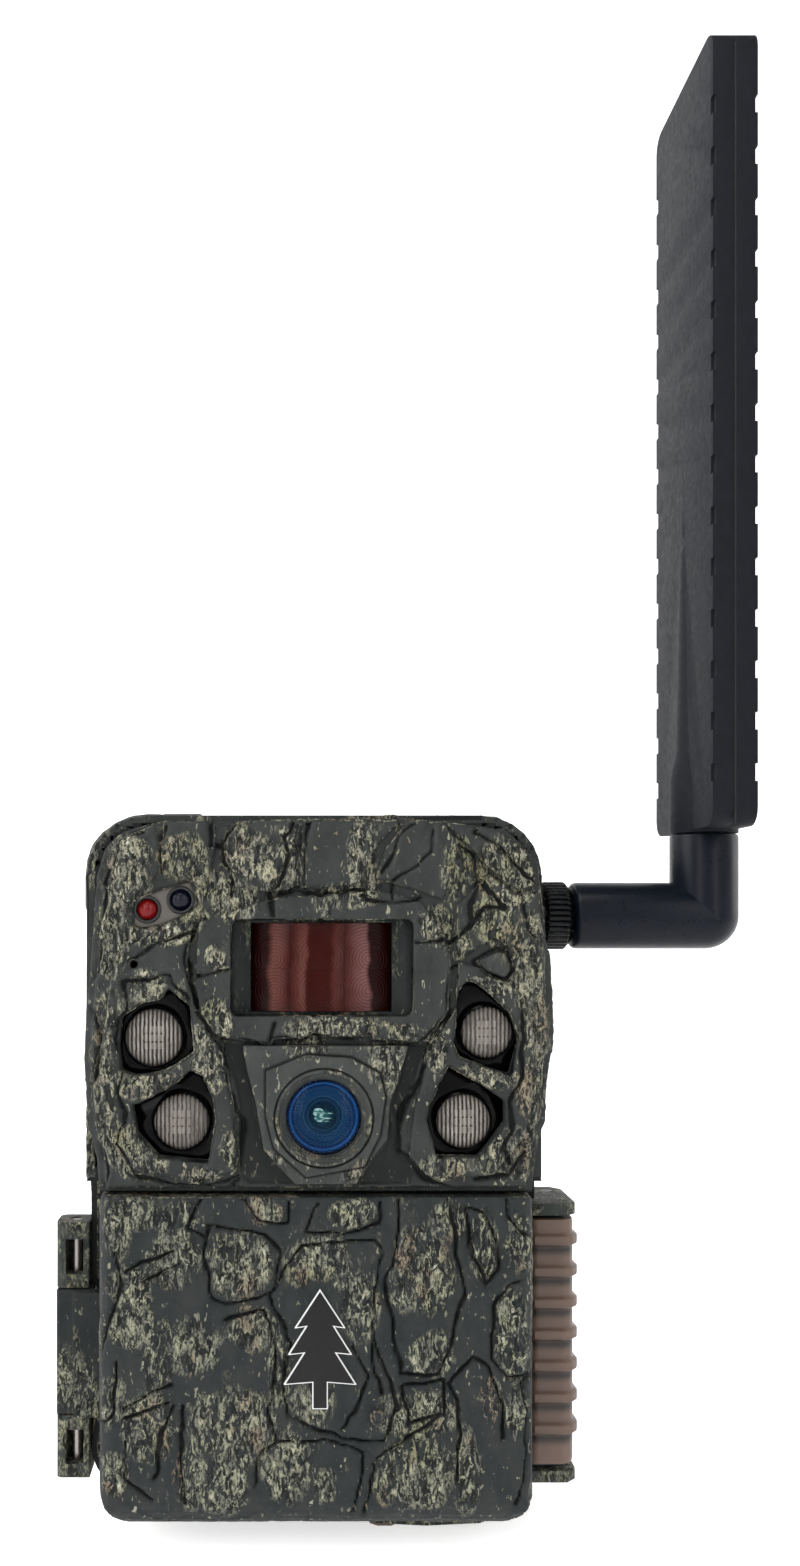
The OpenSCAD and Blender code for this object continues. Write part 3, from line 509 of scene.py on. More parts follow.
def bevelled(node, body, mat, width=0.3, seg=2, name=None, angle=34, extra=()):
    """A copy of a CAD node with its moulded edges rounded, standing for it."""
    o = copy_nodes(name or node + "_form", [node, *extra])
    bm = bmesh.new()
    bm.from_mesh(o.data)
    bmesh.ops.dissolve_limit(bm, angle_limit=math.radians(1.0), verts=bm.verts, edges=bm.edges)
    bm.to_mesh(o.data)
    bm.free()
    b = o.modifiers.new("bevel", "BEVEL")
    b.width = width * MM
    b.segments = seg
    b.limit_method = "ANGLE"
    b.angle_limit = math.radians(angle)
    b.harden_normals = False
    b.use_clamp_overlap = True
    apply_mods(o)
    sharp_smooth(o, 40)
    setmat(o, mat)
    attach(o, body)
    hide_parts(node, *extra)
    return o


def remesh(o, voxel):
    r = o.modifiers.new("r", "REMESH")
    r.mode = "VOXEL"
    r.voxel_size = voxel * MM
    r.use_smooth_shade = True
    apply_mods(o)
    return o


def bark(name, nodes, body, mat, voxel, height, outer, keep_inner, inner_mat=None):
    """Remeshed shell whose outer skin carries moulded bark. height(P, Nrm) in mm returns the move, the painted shade
    in cracks and along edges, and the amount of flecks.
    Faces inside the shell come from the CAD shape, unless they are never seen."""
    o = copy_nodes(name, nodes)
    remesh(o, voxel * (1.0))
    me = o.data
    co = get_co(me)
    P = co / MM
    nr = np.empty(len(me.vertices) * 3, np.float32)
    me.vertices.foreach_get("normal", nr)
    nr = nr.reshape(-1, 3).astype(float)
    om = outer(P, nr)
    h, painted_shade, flk = height(P, nr)
    h = np.where(om, h, 0)
    painted_shade = np.where(om, painted_shade, 0)
    me.vertices.foreach_set("co", ((P + nr * h[:, None]) * MM).astype(np.float32).ravel())
    # the shade attribute says how dark each point is painted in cracks and along edges
    for key, val in (("painted_shade", painted_shade), ("flk", flk), ("inr", np.zeros(len(P)))):
        a = me.attributes.new(key, "FLOAT", "POINT")
        a.data.foreach_set("value", val.astype(np.float32))
    me.update()
    bm = bmesh.new()
    bm.from_mesh(me)
    bm.verts.ensure_lookup_table()
    kill = [f for f in bm.faces if not any(om[v.index] for v in f.verts)]
    bmesh.ops.delete(bm, geom=kill, context="FACES")
    if keep_inner:
        inner = bmesh.new()
        for n in nodes:
            inner.from_mesh(N[n].data)
        faces = list(inner.faces)
        C = np.array([f.calc_center_median()[:] for f in faces]) / MM
        F = np.array([f.normal[:] for f in faces])
        drop = outer(C, F)
        bmesh.ops.delete(inner, geom=[f for f, d in zip(faces, drop) if d], context="FACES")
        tmp = bpy.data.meshes.new("inner")
        inner.to_mesh(tmp)
        inner.free()
        a = tmp.attributes.new("inr", "FLOAT", "POINT")
        a.data.foreach_set("value", np.ones(len(tmp.vertices), np.float32))
        bm.from_mesh(tmp)
        bpy.data.meshes.remove(tmp)
    bm.to_mesh(me)
    bm.free()
    me.polygons.foreach_set("use_smooth", np.ones(len(me.polygons), bool))
    if keep_inner:
        sharp_smooth(o, 50)
    setmat(o, mat)
    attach(o, body)
    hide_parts(*nodes)
    print(name, len(me.polygons), "faces")
    return o


def prism(name, poly, y0, y1, bevel=0.0, seg=2):
    """Closed plate from a front view outline in mm, from depth y0 (front) to y1."""
    area = sum(a[0] * b[1] - b[0] * a[1] for a, b in zip(poly, poly[1:] + poly[:1]))
    if area < 0:
        poly = poly[::-1]
    n = len(poly)
    v = [(x * MM, y0 * MM, z * MM) for x, z in poly] + [(x * MM, y1 * MM, z * MM) for x, z in poly]
    f = [list(range(n)), list(range(2 * n - 1, n - 1, -1))]
    f += [[i, i + n, (i + 1) % n + n, (i + 1) % n] for i in range(n)]
    o = new_obj(name, v, f, False)
    if bevel:
        b = o.modifiers.new("b", "BEVEL")
        b.width = bevel * MM
        b.segments = seg
        b.limit_method = "ANGLE"
        b.angle_limit = math.radians(20)
        apply_mods(o)
    bm = bmesh.new()
    bm.from_mesh(o.data)
    bmesh.ops.recalc_face_normals(bm, faces=bm.faces)
    bm.to_mesh(o.data)
    bm.free()
    sharp_smooth(o, 35)
    return o


def lathe(name, profile, centre, axis="Y", steps=96, cap=False):
    """Surface of revolution: profile of (radius, station) in mm along the axis."""
    v, f = [], []
    n = len(profile)
    for k in range(steps):
        a = 2 * math.pi * k / steps
        for r, s in profile:
            p = (r * math.cos(a), r * math.sin(a))
            if axis == "Y":
                q = (centre[0] + p[0], s, centre[1] + p[1])
            elif axis == "X":
                q = (s, centre[0] + p[0], centre[1] + p[1])
            else:
                q = (centre[0] + p[0], centre[1] + p[1], s)
            v.append([c * MM for c in q])
    for k in range(steps):
        k2 = (k + 1) % steps
        for i in range(n - 1):
            f.append([k * n + i, k * n + i + 1, k2 * n + i + 1, k2 * n + i])
    o = new_obj(name, v, f)
    bm = bmesh.new()
    bm.from_mesh(o.data)
    bmesh.ops.remove_doubles(bm, verts=bm.verts, dist=1e-6)
    bmesh.ops.recalc_face_normals(bm, faces=bm.faces)
    bm.to_mesh(o.data)
    bm.free()
    sharp_smooth(o, 30)
    return o
# ------------------------------------------------------------------ materials
C_COVER = camo("camo_cover", lin(42, 45, 44), lin(52, 55, 53), lin(172, 169, 142), 0.62, seed=0.0)
C_DOOR = camo("camo_door", lin(33, 37, 38), lin(44, 47, 46), lin(158, 158, 132), 0.60, seed=31.0)
C_CASE = camo("camo_case", lin(42, 45, 44), lin(55, 58, 55), lin(158, 156, 130), 0.58, seed=67.0)
C_NOSE = camo("camo_nose", lin(52, 55, 54), lin(63, 66, 63), lin(166, 162, 138), 0.42, crack=False, seed=12.0)
C_PLATE = camo("camo_plate", lin(52, 55, 54), lin(63, 66, 63), lin(166, 162, 138), 0.42, seed=12.0)
C_SMALL = camo("camo_small", lin(43, 48, 46), lin(55, 59, 56), lin(158, 157, 126), 0.72, crack=False, seed=51.0)
BLACK = plastic("black_moulded", lin(19, 20, 21), lin(27, 28, 29), 0.48)
BLACK_IN = plastic("black_inside", lin(24, 25, 26), lin(33, 34, 35), 0.6)
GLOSS = plastic("gloss_black", lin(1, 1, 2), lin(4, 4, 5), 0.14, 2.0, 0.002, 0.0, 0.1, 0.12)
RINGM = plastic("ring_satin", lin(66, 69, 64), lin(84, 86, 78), 0.45, 5.0, 0.03)
RUBBER = plastic("brown_rubber", lin(92, 76, 66), lin(104, 87, 77), 0.42, 4.0, 0.05, 0.0, 0.3, 0.35)
RUBBER_K = plastic("black_rubber", lin(16, 16, 17), lin(24, 24, 25), 0.75, 3.0, 0.06)
BLADE = plastic("blade_grain", lin(15, 17, 22), lin(22, 24, 30), 0.60, 3.2, 0.07, 0.0, 0.5, 0.14)
ELBOW = plastic("elbow_satin", lin(7, 12, 20), lin(13, 18, 27), 0.30, 3.0, 0.01, 0.0, 0.15, 0.16)
NUTM = plastic("nut_satin", lin(1, 2, 4), lin(5, 7, 10), 0.28, 4.0, 0.01, 0.0, 0.15, 0.16)
BRACKET = plastic("bracket_moulded", lin(24, 25, 25), lin(34, 35, 35), 0.55, 4.0, 0.06)
SHEET = metal("tin_sheet", (0.62, 0.62, 0.61), 0.25)
STEEL = metal("pin_steel", (0.34, 0.31, 0.30), 0.28, (1, 1, 6), 2.0)
PIN = metal("pin_blackened", (0.060, 0.058, 0.056), 0.42, (1, 1, 6), 2.0)
BRASS = metal("brass_turned", (0.78, 0.58, 0.26), 0.22, (10, 1, 1), 1.0)
COPPER = metal("copper_foil", (0.75, 0.42, 0.26), 0.3)
PCB = pcb("board")
KEYM = plastic("key_rubber", lin(46, 47, 48), lin(58, 59, 60), 0.55, 4.0, 0.03)
CARD = plastic("card_shell", lin(16, 22, 44), lin(22, 30, 58), 0.35, 3.0, 0.02)
CELLM = metal("cell_sleeve", (0.62, 0.50, 0.20), 0.3, (1, 1, 0.2), 0.3)
DISP = plastic("display_glass", lin(10, 12, 16), lin(16, 19, 24), 0.05, 1.0, 0.002, 0.8, 0.05)
STATM = plastic("status_plate", lin(78, 74, 68), lin(92, 87, 80), 0.42, 3.0, 0.03)
GREENC = plastic("board_coated", lin(16, 60, 36), lin(24, 78, 48), 0.35, 1.0, 0.01)


def dome_mat(name, a, b):
    m = Mat(name)
    c = m.mix(m.noise(m.coords(), 0.9, 3, 0.6), a, b)
    m.set(color=c, rough=0.10, spec=0.28)
    m.bump(m.noise(m.coords(), 1.5, 2, 0.5), 0.05, 0.02)
    return m.m


RED = dome_mat("red_dome", lin(92, 3, 6), lin(126, 8, 10))
NAVY = dome_mat("navy_dome", lin(4, 6, 18), lin(8, 12, 34))


# ------------------------------------------------------------------ bark shells
LINES_DOOR = DOOR_LINES
LINES_COVER = COVER_LINES


def wander(P, seed):
    """Crack distances are taken from a point moved a little by noise, so lines waver."""
    a = np.stack([fbm(P / 3.4 + seed, 3, 81), fbm(P / 3.4 + seed + 17, 3, 82)], 1) - 0.5
    return P[:, [0, 2]] + a * 1.7


def rough_field(P, seed):
    """0 on smooth plates, 1 on flaky bark."""
    n = fbm(P * np.array([0.075, 0.075, 0.036]) + seed, 3, 11)
    return smooth(n, 0.40, 0.60)


def flake(P, seed):
    w = np.stack([fbm(P / 5.0 + 3 + seed, 2, 5), fbm(P / 5.0 + 40, 2, 6), fbm(P / 5.0 + 80, 2, 7)], 1) - 0.5
    q = P + w * 4.0
    a = 1 - np.abs(2 * fbm(q / np.array([1.9, 1.9, 5.2]) + seed, 3, 21) - 1)
    b = 1 - np.abs(2 * fbm(q / np.array([0.8, 0.8, 2.0]) + seed, 2, 31) - 1)
    return a * 0.65 + b * 0.35


def groove(d, width, depth):
    return -depth * np.exp(-((d / width) ** 2))


def procedural_cracks(P, seed, sx=13.0, sz=24.0):
    w = np.stack([fbm(P / 9.0 + seed, 2, 51), fbm(P / 9.0 + 30, 2, 52), fbm(P / 9.0 + 60, 2, 53)], 1) - 0.5
    q = (P + w * 9.0) / np.array([sx, sx, sz])
    f1, f2, cid = worley(q + seed, 61)
    e = (f2 - f1) * (sx * 0.9)
    return e, cid


# dense fleck patches as (X, Z, half width, half height, amount), mm on the front face
COVER_PATCHES = [
    (-36.2, 133.7, 5.5, 3.5, 0.9), (-25.2, 133.1, 4.5, 4.0, 1), (-13.6, 133.7, 4, 4.5, 1), (-5, 133, 2.6, 5, 0.9), (-8.7, 129.5, 2.2, 3.5, 1),
    (9, 131.9, 3.2, 7, 1), (6, 125.8, 6, 2.4, 0.9), (1.7, 124, 1.6, 2.6, 0.9), (-15.4, 124.6, 4, 3.5, 1), (-21, 128.2, 4, 3, 0.9), (-23.4, 122, 3, 3, 0.9),
    (-29.5, 119, 6.5, 2.6, 1), (-38.7, 118.4, 3, 7.5, 1), (-32, 108, 3.7, 3, 1.1), (-36, 128, 4, 5, 0.9), (36, 130, 5.5, 7, 1.1), (34, 122, 4, 6, 1.1), (23, 120.3, 3.2, 3.2, 1),
    (27, 131, 3, 6, 0.8), (40, 113.5, 3.5, 9, 1), (33.5, 108.6, 5, 2, 1), (42, 101, 3, 6.5, 1), (33, 91.5, 5.5, 3, 1), (41.4, 89, 3, 6, 1), (37, 76.8, 7.5, 4.5, 1.1),
    (23.7, 74.4, 4, 2.4, 1), (-19.7, 95.2, 3.4, 6.4, 1.1), (-33, 90.3, 8, 2.8, 1), (-41, 92, 3, 9, 0.7), (-33.8, 76.8, 5.5, 5, 1.1), (-22, 72.5, 3.5, 2, 0.9), (-16, 77.4, 2, 3.4, 0.9),
    (13.3, 94, 3.6, 5.4, 1.1), (-2, 97, 4, 2.6, 0.9), (3.5, 100.7, 9, 2.2, 1), (-18.5, 102.5, 2.6, 3.6, 1), (-19, 113.5, 2, 2, 0.8), (16.4, 99.5, 3, 2, 0.9), (-9, 74, 3, 3, 0.7), (10, 73, 5, 2.6, 0.7),
    (-39, 104, 3, 4, 0.7), (22.5, 97, 2.2, 3.5, 0.9), (26.5, 116.8, 2.5, 2.5, 0.8), (-25.5, 104, 1.8, 5, 0.6), (-40, 83, 2, 5, 0.7),
]
DOOR_PATCHES = [
    (-34.8, 65.4, 4, 3.2, 1), (-26.4, 64, 4, 3, 0.9), (-14.8, 55.7, 6, 6, 1), (-27, 56.4, 5, 5, 0.8), (-35.5, 51, 4, 4, 1), (-34.8, 44, 4, 4, 1), (-23.8, 40, 5, 5, 0.8), (-30, 38, 2.6, 7, 0.7),
    (-12, 43.5, 4, 4, 1), (-32, 25, 4.5, 6, 1), (-16, 25.3, 8, 6, 0.9), (-5.7, 17.5, 4.5, 6.5, 1), (-18, 13.6, 4.5, 6, 1), (-23.8, 15.6, 2.5, 6.5, 0.8), (-38, 15.6, 3, 4, 0.8), (2, 57, 4, 4, 0.9),
    (-3, 56.4, 2.6, 4, 0.8), (6.6, 65.4, 4, 3, 1), (20, 54.4, 5.6, 8, 1), (21.5, 38, 4, 4, 1), (8.5, 48, 3.6, 6, 0.8), (31.8, 59.6, 2.4, 6.5, 1), (37, 42, 3, 8, 1), (-1, 29.8, 4, 4.5, 0.9),
    (19.5, 27.2, 6.5, 4, 1), (18.9, 16.2, 7, 6, 1), (28.6, 16.2, 2.4, 8.5, 0.9), (1.4, 13.6, 2, 3.4, 0.9), (37.7, 27.9, 2, 4, 0.8), (38.5, 60, 2.5, 5, 0.8), (-38, 62, 2.5, 6, 0.6), (-10, 66, 3, 2.4, 0.8),
    (25, 64, 3, 4, 0.8), (-7, 35, 2.2, 6, 0.7), (33, 30, 2, 4, 0.7), (13.5, 15, 2.4, 5, 0.8), (-38.5, 30, 2.4, 5, 0.6),
]


def patches(P, spots, seed):
    q = P[:, [0, 2]] + 3.2 * (np.stack([fbm(P / 4.0 + seed, 3, 71), fbm(P / 4.0 + seed + 9, 3, 72)], 1) - 0.5)
    out = np.zeros(len(P))
    for x, z, a, b, k in spots:
        r = np.hypot((q[:, 0] - x) / a, (q[:, 1] - z) / b)
        out = np.maximum(out, k * (1 - smooth(r, 0.75, 1.35)))
    return out


def side_patches(P, seed):
    n = fbm(P * np.array([0.085, 0.085, 0.045]) + seed, 3, 41)
    return smooth(n, 0.42, 0.56)


def edge_line(xz, poly, width, out_only=None):
    d = seg_dist(xz, closed(poly))[0]
    k = np.exp(-((d / width) ** 2))
    if out_only is not None:
        k = k * (inside(xz, poly) != out_only)
    return k


CHAN_L = [[-17.9, 97.9], [-13.5, 97.5], [-12.6, 91.5], [-11.8, 84.2], [-10.2, 77.4], [-5.8, 72.2], [-3.8, 70.3], [-12.5, 70.3], [-14.2, 71.8], [-14.8, 77.4], [-14.5, 84.2], [-15.6, 90.3], [-17.0, 94.6]]
CHAN_R = [[17.6, 97.3], [21.2, 97.9], [19.4, 92.1], [17.9, 86.0], [15.9, 81.1], [16.0, 77.4], [18.8, 73.0], [18.0, 70.3], [7.8, 70.3], [9.8, 74.0], [13.8, 79.2], [14.4, 86.0], [15.9, 90.5]]


def cover_height(P, nr):
    xz = P[:, [0, 2]]
    front = smooth(-nr[:, 1], 0.35, 0.75) * smooth(-P[:, 1], 43.0, 43.8)
    d, side = seg_dist(wander(P, 0.0), LINES_COVER)
    thin = smooth(fbm(P / 5.0 + 4, 2, 3), 0.30, 0.70)
    w = 0.26 + 0.30 * thin
    opening = np.minimum.reduce([seg_dist(xz, closed(p))[0] for p in (WIN_A, WIN_B, WIN_C, WIN_D, STATUS, PIR)])
    lens_d = np.abs(np.hypot(P[:, 0] - LENS[0], P[:, 2] - LENS[1]) - 9.35)
    opening = np.minimum(opening, lens_d)
    calm = smooth(opening, 0.25, 1.4)
    chan = np.zeros(len(P))
    for poly in (CHAN_L, CHAN_R):
        dd = seg_dist(xz, closed(poly))[0]
        chan = np.maximum(chan, np.where(inside(xz, poly), smooth(dd, -0.3, 0.5), 0))
    flk = patches(P, COVER_PATCHES, 3.0)
    r = np.clip(flk, 0, 1)
    f = flake(P, 2.0)
    e, cid = procedural_cracks(P, 5.0)
    level = (cid - 0.5) * 0.35
    h = front * calm * (1 - chan) * (level * 0.6 + r * (f - 0.50) * 1.15 + (fbm(P / 1.1, 2, 9) - 0.5) * 0.12)
    h = h - 0.9 * chan * front
    h = h + front * smooth(opening, 0.1, 0.5) * (groove(d, w, 0.95) + 0.22 * np.exp(-((d - 1.1) / 0.8) ** 2) * (side > 0))
    gem = inside(xz, GEM)
    h = np.where(gem, h * 0.15 - 0.25, h)
    # painted shade: dark along the cracks, in the channels beside the nose, around the nose, gem, status plate and
    # windows, along the lower edge below Z 69.35, and along the cracks on the sides
    painted_shade = front * np.exp(-((d / (0.18 + 0.26 * thin)) ** 2)) * (0.72 + 0.25 * thin)
    painted_shade = np.maximum(painted_shade, chan * 0.42)
    for poly, w_ in ((NOSE, 0.7), (GEM, 0.45), (STATUS, 0.5), (WIN_A, 0.3), (WIN_B, 0.3), (WIN_C, 0.3), (WIN_D, 0.3)):
        painted_shade = np.maximum(painted_shade, front * edge_line(xz, poly, w_) * 0.55)
    painted_shade = np.maximum(painted_shade, (1 - smooth(P[:, 2], 69.0, 69.35)) * 0.9)
    # sides of the cover
    flank = (1 - smooth(-nr[:, 1], 0.3, 0.6)) * smooth(-P[:, 1], 33.6, 35.0)
    rs = side_patches(P, 4.0)
    hs = -0.55 * np.exp(-((e / 0.5) ** 2)) + (f - 0.6) * 0.7 * rs
    h = h + flank * hs
    flk = flk * front + rs * flank - chan * 1.5
    painted_shade = np.maximum(painted_shade, flank * np.exp(-((e / 0.45) ** 2)) * 0.9)
    low = smooth(P[:, 2], 69.1, 70.4)
    return h * np.where(P[:, 2] < 70.4, low, 1), painted_shade, flk


def door_height(P, nr):
    xz = P[:, [0, 2]]
    front = smooth(-nr[:, 1], 0.25, 0.7) * smooth(-P[:, 1], 37.0, 41.0)
    d, side = seg_dist(wander(P, 5.0), LINES_DOOR)
    thin = smooth(fbm(P / 5.0 + 14, 2, 3), 0.34, 0.72)
    w = 0.24 + 0.26 * thin
    flk = patches(P, DOOR_PATCHES, 6.0)
    r = np.clip(flk, 0, 1)
    f = flake(P, 12.0)
    e, cid = procedural_cracks(P, 15.0)
    badge = np.maximum(np.abs(P[:, 0] - 0.7) - 8.5, np.abs(P[:, 2] - 39.5) - 13.5)
    calm = 0.15 + 0.85 * smooth(badge, -2.0, 1.0)
    h = front * calm * ((cid - 0.5) * 0.25 + r * (f - 0.52) * 1.0 + (fbm(P / 1.1, 2, 9) - 0.5) * 0.12)
    h = h + front * (groove(d, w, 0.85) + 0.15 * np.exp(-((d - 1.0) / 0.8) ** 2) * (side > 0)) * smooth(badge, -4.5, -2.5)
    # painted shade: dark along the cracks on the front and on the sides
    painted_shade = front * np.exp(-((d / (0.16 + 0.22 * thin)) ** 2)) * (0.66 + 0.3 * thin)
    flank = (1 - smooth(-nr[:, 1], 0.2, 0.55)) * smooth(-P[:, 1], 27.2, 28.5) * (P[:, 0] > -44)
    rs = side_patches(P, 14.0)
    hs = -0.5 * np.exp(-((e / 0.5) ** 2)) + (f - 0.62) * 0.6 * rs
    flk = flk * front + rs * (1 - front)
    top = smooth(P[:, 2], 67.0, 68.0)
    h = h + flank * (1 - top) * hs
    painted_shade = np.maximum(painted_shade, flank * (1 - top) * np.exp(-((e / 0.45) ** 2)) * 0.9)
    return h, painted_shade, flk


def case_height(P, nr):
    r = side_patches(P, 21.0)
    f = flake(P, 22.0)
    e, cid = procedural_cracks(P, 25.0)
    rim = smooth(P[:, 1], -32.6, -31.0)
    lowrim = np.where(P[:, 2] < 69.5, smooth(P[:, 1], -24.8, -23.6), 1)
    base = smooth(P[:, 2], 4.6, 6.0)
    pad = np.maximum(np.abs(P[:, 0]) - 31, np.maximum(39 - P[:, 2], P[:, 2] - 125))
    flat = np.where(P[:, 1] > 18, smooth(pad, 0.5, 2.5), 1)
    near_nut = np.where(P[:, 0] > 44, smooth(np.hypot(P[:, 1] + 26.4, P[:, 2] - 122), 7.5, 9.0), 1)
    hinge_zone = np.where((P[:, 0] < -43.5) & (P[:, 1] < -18.5) & (P[:, 2] < 61), 0.0, 1.0)
    latch_zone = np.where((P[:, 0] > 44) & (P[:, 1] < -11) & (P[:, 2] < 66), 0.0, 1.0)
    k = rim * lowrim * base * flat * near_nut * hinge_zone * latch_zone
    upper = smooth(P[:, 2], 71.0, 75.0)
    h = k * (-0.65 * np.exp(-((e / 0.55) ** 2)) + (cid - 0.5) * 0.45 + (cid - 0.6) * 0.75 * upper + (f - 0.55) * 0.9 * r)
    # painted shade: dark along the cracks on the case sides
    painted_shade = k * np.exp(-((e / 0.5) ** 2)) * 0.95 * smooth(P[:, 1], -32.5, -28.0)
    return h, painted_shade, r


def cover_outer(P, nr):
    xz = P[:, [0, 2]]
    d = seg_dist(xz, closed(COVER_OUT))[0]
    return (P[:, 1] < -42.35) | (d < 1.0) | (P[:, 2] < 70.0) | ((d < 2.0) & (P[:, 1] < -41.6))


def door_outer(P, nr):
    cavity = (np.abs(P[:, 0]) < 39.4) & (P[:, 1] > -43.85) & (P[:, 2] > 6.95) & (P[:, 2] < 66.35)
    return ~cavity


def case_outer(P, nr):
    qx = np.abs(P[:, 0]) - (45.5 - 12)
    top = P[:, 2] > 73
    r = np.where(top, 12, 9)
    qx = np.abs(P[:, 0]) - (45.5 - r)
    qz = np.where(top, P[:, 2] - (142 - r), (4 + r) - P[:, 2])
    sd = np.hypot(np.maximum(qx, 0), np.maximum(qz, 0)) + np.minimum(np.maximum(qx, qz), 0) - r
    return (sd > -1.2) | (P[:, 1] > 18.75)


vox = 0.34
cover = bark("bark_cover", ["front_cover"], "case", C_COVER, vox, cover_height, cover_outer, False)
door = bark("bark_door", ["door_shell"], "door", C_DOOR, 0.36, door_height, door_outer, True)
case = bark("bark_case", ["rear_case", "mid_frame"], "case", C_CASE, 0.62, case_height, case_outer, True)

# ------------------------------------------------------------------ small camouflaged mouldings
knuckles = bevelled("hinge_knuckles", "case", C_SMALL, 0.35, 2)
ears = bevelled("latch_ears", "case", C_SMALL, 0.35, 2)
tray = bevelled("battery_tray", "tray", C_SMALL, 0.6, 3)


def nose_height(P, nr):
    xz = P[:, [0, 2]]
    front = smooth(-nr[:, 1], 0.5, 0.9)
    r = np.hypot(P[:, 0] - LENS[0], P[:, 2] - LENS[1])
    plate = P[:, 1] > -46.8
    flk = patches(P, COVER_PATCHES, 3.0) * np.where(plate, 1.0, 0.5)
    h = front * np.where(plate, (fbm(P / 1.0, 3, 4) - 0.5) * 0.3 + np.clip(flk, 0, 1) * (flake(P, 2.0) - 0.55) * 0.8, (fbm(P / 0.8, 2, 5) - 0.5) * 0.05)
    # painted shade: dark along the edge of the raised heptagon and in a ring round the lens
    painted_shade = np.where(plate, edge_line(xz, HEPT, 0.55), 0) * 0.75
    painted_shade = np.maximum(painted_shade, np.exp(-(((r - 9.35) / 0.25) ** 2)) * 0.8)
    return h, painted_shade, flk


nose = bark("nose_plate", ["lens_nose"], "case", C_PLATE, 0.22, nose_height, lambda P, n: np.ones(len(P), bool), False)

# ------------------------------------------------------------------ lens
ring = lathe("lens_ring_form", [(9.25, -36), (9.25, -46.9), (9.05, -47.2), (8.65, -47.25), (8.45, -47.0), (8.35, -46.55), (8.05, -46.5), (7.95, -46.1), (7.65, -46.05),
                                (7.5, -45.6), (7.2, -45.5), (7.2, -36)], LENS)
setmat(ring, C_NOSE)
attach(ring, "case")
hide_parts("lens_ring")


def ring_mat(name, stops, rough=0.25, coat=0.6):
    """Colour by distance from the optical axis, with a fine noise tint."""
    m = Mat(name)
    sep = m.t.nodes.new("ShaderNodeSeparateXYZ")
    m.link(m.coords(), sep.inputs[0])
    dx = m.math("SUBTRACT", sep.outputs[0], LENS[0])
    dz = m.math("SUBTRACT", sep.outputs[2], LENS[1])
    r = m.math("SQRT", m.math("ADD", m.math("MULTIPLY", dx, dx), m.math("MULTIPLY", dz, dz)))
    c = m.ramp(m.math("DIVIDE", r, 8.0), stops)
    c = m.mix(m.math("MULTIPLY", m.noise(m.coords(), 0.4, 3, 0.6), 0.16), c, lin(70, 110, 140))
    m.set(color=c, rough=rough, coat=coat, coat_rough=0.04, spec=0.0)
    return m.m


def stops(rows):
    return [(r / 8.0, lin(*c)) for r, c in rows]


# painted highlight and reflections: the greenish pale centre is a painted glint and the lighter rings near 2.9, 3.7
# and 6.2 to 6.5 mm are painted reflections, over the blue coating tones
LENS_IN = ring_mat("lens_coating_painted_glints", stops([(0.0, (59, 108, 91)), (0.8, (37, 81, 74)), (1.5, (13, 40, 49)), (2.7, (11, 37, 52)), (2.9, (37, 72, 94)), (3.15, (15, 44, 67)), (3.55, (17, 49, 74)), (3.7, (52, 89, 113)), (3.9, (20, 55, 86)),
                                         (5.0, (22, 59, 92)), (5.2, (15, 47, 79)), (5.4, (23, 61, 97)), (6.1, (20, 59, 97)), (6.08, (8, 28, 62)), (6.2, (26, 84, 146)), (6.48, (30, 90, 152)), (6.6, (6, 20, 54)), (6.9, (4, 10, 30)), (7.4, (3, 6, 15))]), 0.45, 0.0)
core = lathe("lens_core", [(7.1, -45.0), (6.9, -45.15), (6.55, -45.05), (6.45, -44.6), (6.1, -44.45), (5.9, -44.5), (5.75, -44.2), (5.3, -44.1), (5.1, -44.15), (4.95, -43.7), (3.9, -43.3),
                           (3.7, -43.35), (3.55, -43.0), (3.0, -42.9), (2.85, -43.0), (2.4, -43.5), (1.8, -43.95), (1.0, -44.25), (0.0, -44.35)], LENS)
setmat(core, LENS_IN)
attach(core, "case")
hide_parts("lens_barrel", "lens_element")

# painted highlight: five flat discs just inside the lens, coloured pale green and white as glints on the inner element
m = Mat("painted_inner_glint")
m.set(color=m.mix(m.ramp(m.noise(m.coords(1, 1, 1.6), 0.9, 3, 0.6), [(0.42, (0,)), (0.58, (1,))]), lin(52, 104, 100), lin(196, 226, 204)), rough=0.15, spec=0.3)
GLINT = m.m
for k, (dx, dz, a_, b_, y_) in enumerate([(-0.95, 0.75, 1.05, 0.85, -44.5), (-0.75, -0.42, 0.95, 0.42, -44.5), (1.0, 0.62, 0.95, 0.14, -44.5), (0.8, -0.35, 0.85, 0.12, -44.5), (-0.1, -0.95, 1.2, 0.1, -44.46)]):
    v_ = [((LENS[0] + dx) * MM, (y_ - 0.06) * MM, (LENS[1] + dz) * MM)]
    for q in range(36):
        an = 2 * math.pi * q / 36
        v_.append(((LENS[0] + dx + a_ * math.cos(an)) * MM, y_ * MM, (LENS[1] + dz + b_ * math.sin(an)) * MM))
    o = new_obj("lens_glint_%d" % k, v_, [[0, 1 + (q + 1) % 36, 1 + q] for q in range(36)])
    setmat(o, GLINT)
    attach(o, "case")

g = Mat("coated_glass")
gn = g.noise(g.coords(), 0.25, 2, 0.5)
g.set(color=g.mix(gn, lin(214, 228, 240), lin(228, 238, 246)), rough=0.0, trans=1.0, ior=1.12)
glass = lathe("lens_front_glass", [(7.05, -45.55), (7.0, -45.9), (6.2, -46.25), (5.0, -46.6), (3.5, -46.9), (1.8, -47.08), (0.0, -47.13)], LENS)
sol = glass.modifiers.new("s", "SOLIDIFY")
sol.thickness = 0.35 * MM
sol.offset = 0
apply_mods(glass)
setmat(glass, g.m)
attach(glass, "case")
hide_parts("lens_glass")

